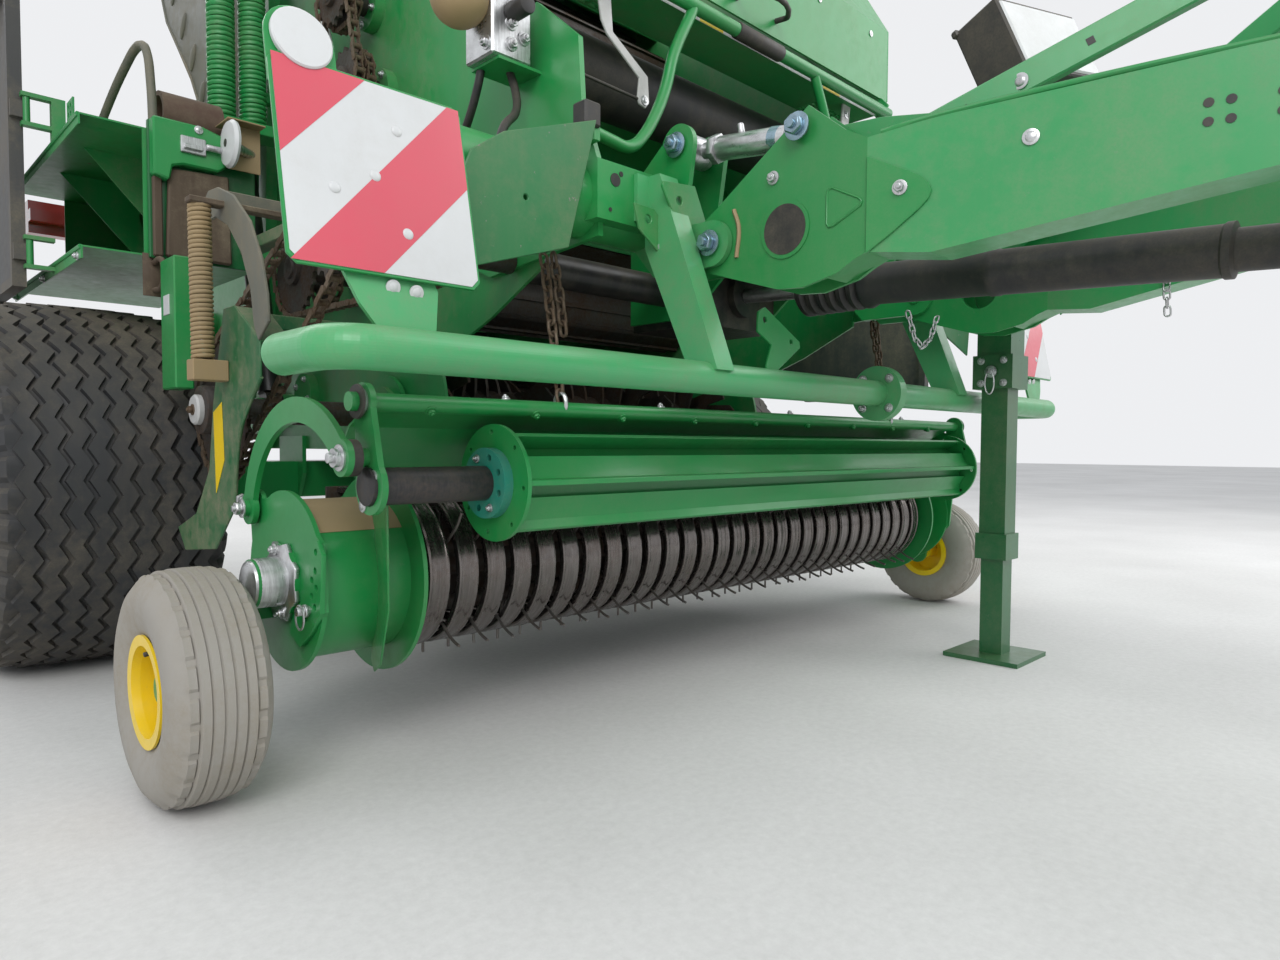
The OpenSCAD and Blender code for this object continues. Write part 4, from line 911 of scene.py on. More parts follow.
class BALER_OT_pickup_ends(bpy.types.Operator):
    """Adds the bearing caps, setting plates, pins, guide sheets and bolts at the pickup's ends"""

    bl_idname = "baler.pickup_ends"
    bl_label = "Pickup ends"

    def execute(self, context):
        y0, z0 = REEL
        pin, adjuster_x = (-0.100, 0.300), 1.124
        for side, tag in SIDES:
            face = side * PICKUP_END
            corners = [(y0 + 0.062 * math.cos(a) * (1.18 if i % 2 else 1.0),
                        z0 + 0.062 * math.sin(a) * (1.18 if i % 2 else 1.0))
                       for i, a in enumerate([math.radians(22.5 * k) for k in range(16)])]
            flange = plate(corners, "X", face if side > 0 else face - 0.010, 0.010, 0.002)
            keep(flange, "cap_flange_" + tag, "zinc", "pickup", angle=60)
            profile = [(0.0, 0.066), (0.030, 0.066), (0.0385, 0.062), (0.0425, 0.052), (0.0435, 0.010),
                       (0.047, 0.008), (0.047, 0.0), (0.0, 0.0)]
            cap = turned([(r, side * d) for r, d in profile], face, REEL, 48)
            keep(cap, "bearing_cap_" + tag, "zinc", "pickup", angle=40)
            spots = [((face + side * 0.010, *p), (side, 0, 0)) for p in around(REEL, 0.056, (75, 255))]
            bolts("cap_bolts_" + tag, "pickup", spots, 0.0085)

            corners = [(-0.142, 0.300), (-0.150, 0.395), (-0.132, 0.418), (-0.108, 0.414), (-0.098, 0.345),
                       (-0.062, 0.305), (-0.020, 0.250), (-0.062, 0.232), (-0.104, 0.262)]
            holes = [(-0.128, 0.399), (-0.125, 0.368), (-0.112, 0.352), (-0.128, 0.340), (-0.110, 0.325),
                     (-0.122, 0.308), (-0.085, 0.283)]
            holes = [(y, z, 0.006) for y, z in holes]
            setting = plate(corners, "X", face + 0.0005 if side > 0 else face - 0.0085, 0.008, 0.0012, holes)
            keep(setting, "setting_plate_" + tag, "green", "pickup")
            head = join([bar((face + side * near, *pin), (face + side * far, *pin), r, 16, 0.001)
                         for near, far, r in ((-0.002, 0.030, 0.0075), (0.012, 0.018, 0.011))])
            keep(head, "setting_pin_" + tag, "zinc", "pickup")
            loop = [(face + side * 0.024, *p) for p in around((pin[0], pin[1] - 0.010), 0.016, ROUND, 0.020)]
            keep(tube(loop, 0.0018, cyclic=True), "setting_ring_" + tag, "zinc", "pickup")

            spots = [((side * 1.1865, y, 0.282), (side, 0, 0)) for y in (0.105, 0.140)]
            bolts("gauge_arm_bolts_" + tag, "pickup", spots, 0.010)
            pivot = (side * (1.146 if side < 0 else 1.000), 0.143, 0.456)
            bolts("press_pivot_" + tag, "pickup", [(pivot, (side, 0, 0))], 0.014)
            x = side * adjuster_x
            rod = bar((x, 0.143, 0.456), (x, 0.214, 0.470), 0.0065, 14)
            nuts = [bar((x, 0.160 + 0.02 * k, 0.4594 + 0.004 * k), (x, 0.169 + 0.02 * k, 0.4612 + 0.004 * k),
                        0.0115, 6, 0.001) for k in range(3)]
            keep(join([rod, *nuts]), "adjuster_" + tag, "zinc", "pickup")

        # The bent crop guide in front of the right-hand drum
        corners = [(-0.040, 0.505), (-0.205, 0.475), (-0.195, 0.300), (-0.115, 0.190), (-0.060, 0.165),
                   (-0.035, 0.185), (-0.110, 0.320), (-0.100, 0.430)]
        guide = plate(corners, "X", -0.992, 0.004, 0.001)
        for v in guide.data.vertices:
            v.co.x += 0.30 * (v.co.y + 0.035) + 0.02 * (0.4 - v.co.z)
        keep(guide, "crop_guide", "green_dusty", "pickup")
        # The dirty top of the right-hand drum
        outer, inner = [ring_points(REEL, r, 22, 40, 140) for r in (0.1412, 0.1402)]
        keep(plate(outer + inner[::-1], "X", -1.110, 0.157, 0), "drum_dirt", "tan", "pickup")
        return {"FINISHED"}


# Boards and guard tube


def board_place():
    """The lean and place of the warning boards' middle line on the guard tube."""
    lean = Matrix.Rotation(BOARD_LEAN, 4, "X")
    lean.translation = Vector((0, GUARD[0] + 0.005, GUARD[1]))
    return lean


class BALER_OT_boards(bpy.types.Operator):
    """Models the blank striped boards with their rolled edges, reflectors and rivets"""

    bl_idname = "baler.boards"
    bl_label = "Warning boards"

    def execute(self, context):
        half, cut = 0.141, 0.012
        face = half * 0.972
        edge = [(half - cut, -half), (half, -half + cut), (half, half - cut), (half - cut, half),
                (-half + cut, half), (-half, half - cut), (-half, -half + cut), (-half + cut, -half)]
        # Corners of the stripes, in halves of the face
        stripes = {
            "right": (((-1, 1), (-1, 0.02), (-0.08, 1)),
                      ((-1, -1), (-0.92, -1), (-0.012 / face, -1), (1, 0.10), (1, 1), (0.86, 1))),
            "left": (((-1, 1), (-1, -0.52), (0.06, 1)), ((-1, -1), (1, 1), (1, 0.18), (-0.1, -1)))}
        for side, tag in SIDES:
            shift = board_place() @ Matrix.Translation((side * 1.144, 0, 0.239))

            def put(obj, name, look, shift=shift, tag=tag):
                obj.data.transform(shift)
                return keep(obj, name + "_" + tag, look, "frame")

            put(plate(edge, "Y", -0.0098, 0.0048, 0.0008), "board_sheet", "green")
            sheet = plate([(a * 0.972, b * 0.972) for a, b in edge], "Y", -0.0109, 0.0012, 0.0003)
            put(sheet, "board_face", "white")
            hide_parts("warning_boards")
            for k, stripe in enumerate(stripes[tag]):
                put(plate([(a * face, b * face) for a, b in stripe], "Y", -0.01135, 0.0008, 0),
                    "board_stripe_%d" % k, "red")
            spot = (side * 0.094, 0.168)
            tab = around(spot, 0.047, range(0, 181, 15)) + [(spot[0] - 0.047, 0.10), (spot[0] + 0.047, 0.10)]
            put(plate(tab, "Y", -0.0060, 0.0050, 0.0008), "board_tab", "green")
            dot = around(spot, 0.041, range(0, 360, 10))
            put(plate(dot, "Y", -0.0150, 0.0090, 0.002), "board_reflector", "white")
            made = [Matrix.Translation((a, -0.0105, b)) @ Matrix.Rotation(math.pi / 2, 4, "X")
                    for a, b in ((0.03, 0.075), (-0.01, 0.0), (0.03, -0.075), (-0.07, -0.03))]
            rivet = place(start("uv_sphere", segments=16, ring_count=8, radius=0.0085, scale=(1, 1, 0.4)))
            put(copies(rivet, made), "board_rivets", "white")
        return {"FINISHED"}


class BALER_OT_guard_fittings(bpy.types.Operator):
    """Adds bolts, rivets, small plates and brackets to the guard tube, its struts and the front beam"""

    bl_idname = "baler.guard_fittings"
    bl_label = "Guard tube fittings"

    def execute(self, context):
        spots = []
        for p in around(GUARD, 0.049, (45, 135, 225, 315)):
            spots += [((0.128, *p), (1, 0, 0)), ((0.100, *p), (-1, 0, 0))]
        bolts("guard_flange_bolts", "frame", spots, 0.0085)
        corners = [(-0.300, 0.705), (-0.300, 0.728), (-0.222, 0.780), (-0.224, 0.792), (-0.345, 0.851),
                   (-0.366, 0.840), (-0.368, 0.800), (-0.322, 0.778), (-0.338, 0.735), (-0.335, 0.705)]
        small = plate(corners, "Y", GUARD[0] - 0.006, 0.006, 0.0012,
                      [(-0.345, 0.826, 0.006), (-0.255, 0.790, 0.005)])
        keep(small, "small_plate", "green", "frame")
        lean = board_place()
        spots = [(lean @ Vector((side * x, 0.0, z)), (0, -0.98, -0.2))
                 for x, z in ((1.128, 0.118), (1.140, 0.088), (1.105, 0.085)) for side in (RIGHT, LEFT)]
        bolts("bracket_rivets", "frame", spots, 0.0085, "white", "dome")

        front = [(0.455, 1.084), (0.545, 1.075), (0.548, 1.066), (0.505, 1.000), (0.422, 1.004),
                 (0.418, 1.014)]
        low = [(0.590, 1.032), (0.535, 1.030), (0.470, 0.972), (0.480, 0.935), (0.505, 0.938), (0.575, 0.985)]
        screen = [(0.657, 1.175), (0.865, 1.100), (0.930, 1.055), (0.948, 1.015), (0.930, 0.865),
                  (0.724, 0.930)]
        for side, tag in SIDES:
            near = plate(mirrored(front, side)[::-side], "Y", -0.345, 0.006, 0.0012,
                         [(side * 0.500, 1.046, 0.0085)])
            far = plate(mirrored(low, side)[::-side], "Y", -0.312, 0.006, 0.0012,
                        [(side * 0.552, 1.008, 0.0085)])
            base = side_block(side, (0.420, -0.345, 0.996), (0.505, -0.2848, 1.002), 0.0012)
            rib = side_block(side, (0.492, -0.313, 0.9415), (0.500, -0.2848, 1.0), 0.0012)
            # The brackets' lighter green is dust and painted sheen
            keep(join([near, far, base, rib]), "strut_bracket_" + tag, "green_dust_and_painted_sheen", "frame")
            bolts("strut_bolts_" + tag, "frame", [((side * 0.515, -0.3125, 0.960), (0, -1, 0))], 0.009)
            # Black discs on the twine box: painted shade for its holes
            dots = [bar((side * x, -0.2755, z), (side * x, -0.2765, z), r, 24) for x, z, r in
                    ((0.605, 1.078, 0.0125), (0.590, 1.092, 0.005), (0.618, 1.020, 0.004))]
            keep(join(dots), "box_holes_" + tag, "plastic", "frame")
            shade = plate(mirrored(screen, side)[::side], "Y", -0.281, 0.006, 0.0015,
                          [(side * 0.82, 1.000, 0.005)])
            tie = side_block(side, (0.70, -0.2755, 1.020), (0.90, -0.2500, 1.060), 0.001)
            keep(join([shade, tie]), "dust_shield_" + tag, "green_speckled", "frame")
            stop = side_block(side, (0.628, -0.262, 1.172), (0.668, -0.222, 1.218), 0.004)
            keep(stop, "rubber_stop_" + tag, "plastic", "frame")
            foot = side_block(side, (0.6248, -0.255, 1.150), (0.640, -0.225, 1.180), 0.001)
            keep(foot, "stop_plate_" + tag, "green_dusty", "frame")
        return {"FINISHED"}


# Chains and springs


def link(length, width, wire):
    """One link of a welded chain, lying along Z, its flat across X."""
    ring = start("torus", major_segments=20, minor_segments=8, major_radius=(width - wire) / 2,
                 minor_radius=wire / 2, rotation=(math.pi / 2, 0, 0))
    place(ring)
    stretch = (length - width) / 2
    for v in ring.data.vertices:
        v.co.z += math.copysign(stretch, v.co.z) if abs(v.co.z) > 1e-5 else 0
    return ring


def hung_chain(name, points, length=0.036, width=0.024, wire=0.0065, look="chain"):
    """Links along a row of points, each a quarter turn from the last."""
    pitch = length - 2 * wire * 1.05
    places, carry, quarter = [], 0.0, 0
    for p, q in zip(points, points[1:]):
        p, q = Vector(p), Vector(q)
        run = (q - p).length
        while carry <= run:
            places.append(facing(p.lerp(q, carry / run), q - p, quarter * math.pi / 2))
            quarter += 1
            carry += pitch
        carry -= run
    return keep(copies(link(length, width, wire), places), name, look, "frame", angle=60)


class BALER_OT_hold_chains(bpy.types.Operator):
    """Models the chains that the wind guard hangs from, and the spare loops of chain under the drawbar"""

    bl_idname = "baler.hold_chains"
    bl_label = "Holding chains"

    def execute(self, context):
        for x, tag in ((-0.695, "right"), (0.530, "left")):
            low, high = Vector((x, -0.222, 0.664)), Vector((x, -0.170, 0.940))
            chain = hung_chain("hold_chain_" + tag, [low, high])
            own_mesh(chain)
            if x < 0:
                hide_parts("hold_chains")
            loop = [(x, *p) for p in around((-0.222, 0.652), 0.016, ROUND, 0.020)]
            shackle = tube(loop, 0.0042, cyclic=True)
            keep(shackle, "chain_shackle_" + tag, "zinc", "press", angle=60)
            hang = [(x + 0.03, -0.165, 0.935), (x + 0.045, -0.168, 0.850), (x + 0.052, -0.168, 0.795)]
            tail = hung_chain("hold_chain_tail_" + tag, hang)
            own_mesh(tail)
        loops = {"pto_chain": [(0.12, -0.50, 0.880), (0.15, -0.50, 0.830), (0.19, -0.50, 0.812),
                               (0.23, -0.50, 0.835), (0.26, -0.50, 0.885)],
                 "spare_chain": [(0.30, -0.98, 0.960), (0.30, -0.98, 0.905), (0.315, -0.98, 0.850)]}
        for name, points in loops.items():
            hung_chain(name, points, 0.026, 0.016, 0.0042, "zinc")
        return {"FINISHED"}


def belt(p, r, q, s):
    """Evenly spread places and headings round a chain about two wheels, and the pitch that fits."""
    p, q = Vector(p), Vector(q)
    gap = (q - p).length
    a = math.atan2((q - p).y, (q - p).x)
    b = math.acos((r - s) / gap)
    lower, upper = [Vector((math.cos(w), math.sin(w))) for w in (a - b, a + b)]
    runs = [("arc", p, r, a + b, a - b + 2 * math.pi), ("flat", p + r * lower, q + s * lower),
            ("arc", q, s, a - b, a + b), ("flat", q + s * upper, p + r * upper)]
    whole = r * (2 * math.pi - 2 * b) + s * 2 * b + 2 * math.sqrt(gap * gap - (r - s) ** 2)
    n = 2 * round(whole / CHAIN_PITCH / 2)
    places = []
    for i in range(n):
        left = i * whole / n
        for kind, *run in runs:
            size = run[1] * (run[3] - run[2]) if kind == "arc" else (run[1] - run[0]).length
            if left > size:
                left -= size
                continue
            if kind == "arc":
                w = run[2] + left / run[1]
                places.append((run[0] + run[1] * Vector((math.cos(w), math.sin(w))), w + math.pi / 2))
            else:
                d = run[1] - run[0]
                places.append((run[0] + d * left / size, math.atan2(d.y, d.x)))
            break
    return places, whole / n


def roller_at(angle):
    """The axis of the chamber roller that stands at an angle round the chamber."""
    return around(CHAMBER, ROLLER_CIRCLE, [angle])[0]


def chain_link(pitch, narrow):
    """One link of a roller chain, with its pins and rollers if it is a narrow one."""
    corners = []
    for t in [math.radians(30 * i) for i in range(12)]:
        end = math.copysign(0.5, math.cos(t)) if abs(math.cos(t)) > 0.1 else 0
        waist = 0.72 if abs(math.cos(t)) < 0.3 else 1
        corners.append((0.0090 * math.cos(t) + end * pitch, 0.0085 * math.sin(t) * waist))
    thick, off = 0.0028, 0.0062 if narrow else 0.0095
    parts = [plate(corners, "X", 0.0, thick, 0)]
    parts.append(parts[0].copy())
    parts[1].data = parts[0].data.copy()
    bpy.context.collection.objects.link(parts[1])
    for side, dx in zip(parts, (off, -off - thick)):
        side.data.transform(Matrix.Translation((dx, 0, 0)))
    if narrow:
        for half, r, n in ((0.0125, 0.0032, 8), (0.006, 0.0068, 10)):
            parts += [bar((-half, e * pitch / 2, 0), (half, e * pitch / 2, 0), r, n) for e in (-1, 1)]
    return join(parts)


class BALER_OT_drive(bpy.types.Operator):
    """Models the roller chains and toothed wheels of the drive on the right-hand side"""

    bl_idname = "baler.drive"
    bl_label = "Drive"

    def execute(self, context):
        chain_seat = 0.007
        # Offset, and the axis and radius of both wheels of each chain
        runs = [(1.020, ROTOR, 0.150, INPUT, 0.078), (0.800, roller_at(213), 0.110, INPUT, 0.062)]
        for k, (a, b) in enumerate(zip(DRIVEN_ROLLERS, DRIVEN_ROLLERS[1:])):
            runs.append((0.690 if k % 2 else 0.720, roller_at(a), 0.070, roller_at(b), 0.070))
        chains, wheels = [], []
        for x, p, r, q, s in runs:
            places, pitch = belt(p, r + chain_seat, q, s + chain_seat)
            middle = -(x + 0.007)
            links = [chain_link(pitch, narrow) for narrow in (True, False)]
            for parity, one in enumerate(links):
                moves = [Matrix.Translation((middle, y, z)) @ Matrix.Rotation(w, 4, "X")
                         for (y, z), w in places[parity::2]]
                chains.append(copies(one, moves))
            for centre, radius in ((p, r), (q, s)):
                teeth = max(10, round(2 * math.pi * (radius + chain_seat) / pitch))
                rim = []
                for i in range(teeth):
                    for d, reach in ((-0.25, 0.0), (-0.10, 0.0105), (0.10, 0.0105), (0.25, 0.0)):
                        rim += around(centre, radius + reach, [360 * (i + d) / teeth])
                wheels.append(plate(rim, "X", middle - 0.0045, 0.009, 0))
                hub = max(0.032, radius * 0.36)
                wheels.append(bar((middle - 0.016, *centre), (middle + 0.016, *centre), hub, 28, 0.002))
        shafts = [(-1.050, INPUT, -0.626, 0.025), (-1.080, ROTOR, -0.6455, 0.030)]
        shafts += [(-0.830 if a == 213 else -0.745, roller_at(a), HOUSING, 0.025) for a in DRIVEN_ROLLERS]
        for end, centre, root, r in shafts:
            wheels.append(bar((end, *centre), (root, *centre), r, 24, 0.002))
        keep(join(chains), "roller_chains", "chain", "frame", ["drive_chains"], 50)
        keep(join(wheels), "sprockets", "dark_steel", "frame", ["drive_sprockets"], 30)
        profile = [(0.0, 0.0), (0.034, 0.0), (0.034, -0.010), (0.030, -0.014), (0.012, -0.014), (0.0, -0.014)]
        cap = turned(profile, -1.080, ROTOR, 36)
        keep(cap, "sprocket_cap", "silver_paint", "frame")
        hub = bar((-1.036, *ROTOR), (-1.080, *ROTOR), 0.055, 36, 0.003)
        keep(hub, "sprocket_hub", "dark_steel", "frame")
        bolts("sprocket_bolt", "frame", [((-1.094, *ROTOR), (-1, 0, 0))], 0.010, "chain")
        return {"FINISHED"}


def helix(name, base, r, wire, turns, pitch, look, tilt=Matrix.Identity(4)):
    """A wound spring standing on base."""
    steps = 12
    angles = [2 * math.pi * i / steps for i in range(turns * steps + 1)]
    points = [(r * math.cos(a), r * math.sin(a), pitch * i / steps) for i, a in enumerate(angles)]
    spring = tube(points, wire, sides=8, smooth=False)
    spring.data.transform(Matrix.Translation(base) @ tilt)
    return keep(spring, name, look, "frame", angle=60)


class BALER_OT_springs(bpy.types.Operator):
    """Winds the two green tensioning springs and the dusty tan one by the chain"""

    bl_idname = "baler.springs"
    bl_label = "Springs"

    def execute(self, context):
        for x, tag in ((-0.900, "outer"), (-0.820, "inner")):
            foot = (x, 0.945, 1.4403)
            wound = helix("tension_spring_" + tag, foot, 0.030, 0.0062, 48, 0.01275, "green_dusty")
            if tag == "outer":
                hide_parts("springs")
        for name, x in (("spring_rod90", -0.900), ("spring_rod82", -0.820)):
            keep(bar((x, 0.945, 1.430), (x, 0.945, 2.050), 0.012, 16), name, "dark_steel", "frame")
        keep_blocks("frame", (
            ("spring_seat", "green", (-0.950, 0.905, 1.410), (WALL, 0.985, 1.4400), 0.002),
            ("spring_top", "green", (-0.950, 0.905, 2.0520), (HOUSING, 0.985, 2.0720), 0.002)))
        lean = Matrix.Rotation(math.radians(-1.5), 4, "X")
        helix("tan_spring", (-1.140, 0.360, 0.7425), 0.0185, 0.0044, 34, 0.00905, "tan", lean)
        keep_blocks("frame", (
            ("tan_spring_hook", "brown", (-1.165, 0.345, 1.0500), (WALL, 0.375, 1.0620), 0.002),
            ("tan_spring_foot", "tan", (-1.165, 0.340, 0.700), (-1.0973, 0.380, 0.7420), 0.002)))
        return {"FINISHED"}


# Front frame and drawbar


def beam_side(y, out=0.0):
    """How far the drawbar's side is from the middle at y, behind the bend at the head."""
    return 0.450 + (y + 0.720) * 0.2537 + out


class BALER_OT_drawbar_fittings(bpy.types.Operator):
    """Adds pins, the pressed recesses, edge plates and bolts to the drawbar and its clevises"""

    bl_idname = "baler.drawbar_fittings"
    bl_label = "Drawbar fittings"

    def execute(self, context):
        nose_corners = [(0.000, 1.053), (0.055, 1.025), (0.088, 1.007), (0.100, 0.995), (0.105, 0.983),
                        (0.101, 0.971), (0.085, 0.955), (0.041, 0.921), (0.000, 0.893)]
        recess = [(-0.644, 1.008), (-0.647, 1.015), (-0.654, 1.016), (-0.705, 0.989), (-0.711, 0.983),
                  (-0.709, 0.976), (-0.656, 0.951), (-0.648, 0.951), (-0.644, 0.957)]
        for side, tag in SIDES:
            outward_x = (side, 0, 0)
            pins = [(0.470, -0.393, 0.963), (0.470, -0.305, 1.170), (0.464, -0.589, 1.134)]
            spots = [(p, outward_x) for p in mirrored(pins, side)]
            bolts("head_pins_" + tag, "frame", spots, 0.0200, "blue_zinc")
            # Each head hole is a black disc inside a green rim: painted shade for the hole's inside
            for name, look, low, high, r in (("head_hole_rim_", "green", 0.4500, 0.4525, 0.052),
                                             ("head_hole_", "plastic", 0.4520, 0.4530, 0.045)):
                disc = bar((side * low, -0.557, 0.963), (side * high, -0.557, 0.963), r, 40)
                keep(disc, name + tag, look, "frame")
            nose = plate(nose_corners, "X", 0, 0.005, 0.0012)
            for v in nose.data.vertices:
                out, along, z = v.co
                v.co = (side * (0.450 - along * math.sin(BEAM_LEAN) + out * math.cos(BEAM_LEAN)),
                        -0.720 - along * math.cos(BEAM_LEAN) - out * math.sin(BEAM_LEAN), z)
            keep(outward(nose), "head_patch_" + tag, "green", "frame")
            floor = plate(recess, "X", 0.4502 if side > 0 else -0.4507, 0.0005, 0)
            keep(floor, "head_recess_" + tag, "green", "frame")
            lip = tube([(side * 0.4505, y, z) for y, z in recess], 0.0022, cyclic=True, smooth=False)
            keep(lip, "recess_lip_" + tag, "green", "frame", angle=60)
            path = ((-0.440, 1.020), (-0.452, 0.985), (-0.447, 0.930))
            bend = tube([(side * 0.4515, y, z) for y, z in path], 0.0045)
            keep(bend, "bent_tab_" + tag, "tan", "frame", angle=60)
            spots = [((side * 0.4415, -0.775, 0.993), (side, -0.2, 0)),
                     ((side * 0.4505, -0.530, 1.060), outward_x)]
            bolts("head_bolts_" + tag, "frame", spots, 0.010)
            # Black discs on the beam's sides: painted shade for its holes
            dots = [((side * beam_side(y, 0.0005), y, z), (side, -0.25, 0))
                    for z in (1.020, 1.046) for y in (-1.175, -1.200, -1.255, -1.290)]
            made = copies(bar((0, 0, 0), (0, 0, 0.0006), 0.0065, 20), [facing(p, d) for p, d in dots])
            keep(made, "beam_holes_" + tag, "plastic", "frame")
            spots = [((side * beam_side(y, 0.0005), y, z), (side, -0.25, 0))
                     for y, z in ((-0.960, 1.040), (-1.540, 1.050))]
            bolts("beam_bolts_" + tag, "frame", spots, 0.010, "zinc", "dome")
            path = ((-0.740, 1.090), (-0.820, 1.099), (-1.260, 1.117), (-2.030, 1.114))
            edge = tube([(side * beam_side(y, -0.004), y, z) for y, z in path], 0.0055)
            keep(edge, "beam_seam_" + tag, "green", "frame", angle=60)
            y0, z0 = FRONT_TUBE
            spots = [((side * 0.9665, y0 + 0.055 * math.cos(a), z0 + 0.055 * math.sin(a)), outward_x)
                     for a in (0.5, 2.07, 3.64, 5.2)]
            bolts("tube_end_" + tag, "frame", spots, 0.009)
        seams = [tube([(side * x, *p) for p in around(FRONT_TUBE, 0.0705, range(110, 260, 15))], 0.0042)
                 for x in (0.448, 0.464, 0.356, 0.372) for side in (RIGHT, LEFT)]
        keep(join(seams), "clevis_welds", "green", "frame", angle=60)
        return {"FINISHED"}


class BALER_OT_top_links(bpy.types.Operator):
    """Models the two turnbuckles that hold the drawbar's height"""

    bl_idname = "baler.top_links"
    bl_label = "Top links"

    def execute(self, context):
        a, b = Vector((0, -0.305, 1.170)), Vector((0, -0.589, 1.134))
        along = (b - a).normalized()
        for side, tag in SIDES:
            p, q = a + X * side * 0.410, b + X * side * 0.410
            parts = [bar(e - X * 0.031, e + X * 0.031, 0.031, 32, 0.003) for e in (p, q)]
            parts += [bar(p + along * 0.026, p + along * 0.075, 0.016, 20),
                      bar(q - along * 0.075, q - along * 0.026, 0.016, 20),
                      bar(p + along * 0.050, p + along * 0.066, 0.030, 6, 0.002),
                      bar(p + along * 0.066, q - along * 0.052, 0.0235, 32, 0.004)]
            keep(join(parts), "turnbuckle_" + tag, "zinc", "frame", ["top_links"] if side < 0 else (), 30)
            top, low = p.lerp(q, 0.42) + Z * 0.022, p.lerp(q, 0.66) - Z * 0.020
            rows = [("grease_stub_", "zinc", top, top + Z * 0.020 + Y * 0.004, 0.0065, 12, 0.002),
                    ("turn_handle_", "zinc", low, low - Z * 0.032 - Y * 0.006, 0.0065, 12, 0.002)]
            keep_bars("frame", [(row[0] + tag, *row[1:]) for row in rows])
            for e in (p, q):
                pin = bar(e - X * 0.036, e + X * 0.036, 0.0150, 24)
                keep(pin, "link_pin_%s_%d" % (tag, round(-e.y * 100)), "zinc", "frame")
            mark = bar(q - along * 0.090 + Z * 0.001, q - along * 0.070, 0.0240, 32)
            keep(mark, "link_mark_" + tag, "blue_zinc", "frame")
        return {"FINISHED"}


class BALER_OT_power_shaft(bpy.types.Operator):
    """Models the ribbed guard of the power shaft with its clip and screw"""

    bl_idname = "baler.power_shaft"
    bl_label = "Power shaft guard"

    def execute(self, context):
        tilt = math.radians(2.75)
        axis = Vector((0, -math.cos(tilt), -math.sin(tilt)))
        base = Vector((0, -0.100, 0.9558))
        outer = []
        for i in range(7):
            ridge = ((0.054, 0.200), (0.062, 0.208), (0.062, 0.218))
            outer += [(r - i * 0.0015, d + i * 0.026) for r, d in ridge]
        outer += [(0.0450, 0.390), (0.0450, 0.640), (0.0468, 0.644), (0.0468, 0.660), (0.0450, 0.664),
                  (0.0450, 1.036), (0.0480, 1.040), (0.0480, 1.052), (0.0365, 1.056), (0.0365, 1.500),
                  (0.0450, 1.545), (0.0505, 1.590), (0.0540, 1.610), (0.0540, 1.620)]
        inner = [(0.0510, 1.621), (0.0300, 1.500), (0.0300, 1.060), (0.0380, 1.020), (0.0380, 0.400),
                 (0.0480, 0.201)]
        guard = start("circle", vertices=len(outer + inner), fill_type="NOTHING")
        for v, (r, d) in zip(guard.data.vertices, outer + inner):
            v.co = (r, 0, d)
        edit(guard, ("spin", {"steps": 56, "angle": 2 * math.pi, "center": (0, 0, 0), "axis": (0, 0, 1)}))
        outward(guard)
        guard.data.transform(facing(base, axis))
        keep(guard, "shaft_guard", "plastic", "frame", ["pto_guard"], 30)
        clip = [base + axis * 1.30 + Vector((a, 0, b)) for a, b in around((0, 0), 0.038, ROUND)]
        keep(tube(clip, 0.003, cyclic=True), "guard_clip", "zinc", "frame", angle=60)
        spots = [(base + axis * 0.640 + Z * 0.0466, (0, 0, 1))]
        bolts("guard_screw", "frame", spots, 0.006, "zinc", "dome")
        return {"FINISHED"}


class BALER_OT_jack_fittings(bpy.types.Operator):
    """Adds the collar, the pin with its clip, the crank and the reflector to the parking jack"""

    bl_idname = "baler.jack_fittings"
    bl_label = "Jack fittings"

    def execute(self, context):
        x, y = 0.600, -0.520
        pin_z = 0.775
        pin = [bar((x + near, y, pin_z), (x + far, y, pin_z), r, n, 0.001) for near, far, r, n in
               ((-0.075, -0.040, 0.009, 16), (0.040, 0.080, 0.009, 16), (-0.066, -0.060, 0.016, 18))]
        keep(join(pin), "jack_pin", "zinc", "frame")
        clip = [(x - 0.070, *p) for p in around((y, pin_z - 0.030), 0.012, ROUND, 0.030)]
        keep(tube(clip, 0.0022, cyclic=True), "jack_clip", "zinc", "frame", angle=60)
        corners = [(x - 0.030, 1.085), (x + 0.030, 1.085), (x + 0.030, 1.145), (x - 0.030, 1.145)]
        keep(plate(corners, "Y", y - 0.0490, 0.0035, 0.001), "jack_reflector", "white", "frame")
        path = [(0.0, 1.180), (0.0, 1.215), (0.010, 1.228), (0.120, 1.232), (0.135, 1.245), (0.135, 1.320)]
        crank = tube([(x + dx, y, z) for dx, z in path], 0.008, sides=12)
        keep(crank, "jack_crank", "zinc", "frame", angle=60)
        grip = bar((x + 0.135, y, 1.262), (x + 0.135, y, 1.352), 0.014, 20, 0.004)
        keep(grip, "jack_grip", "plastic", "frame")
        spots = [((x - 0.054, y + dy, z), (-1, 0, 0)) for dy in (-0.03, 0.03) for z in (0.745, 0.805)]
        bolts("collar_bolts", "frame", spots, 0.008)
        spots = [((x - 0.085, -0.560 + dy, 1.1203), (0, 0, 1)) for dy in (0, 0.05)]
        bolts("jack_mount_bolts", "frame", spots, 0.010)
        return {"FINISHED"}


# Body


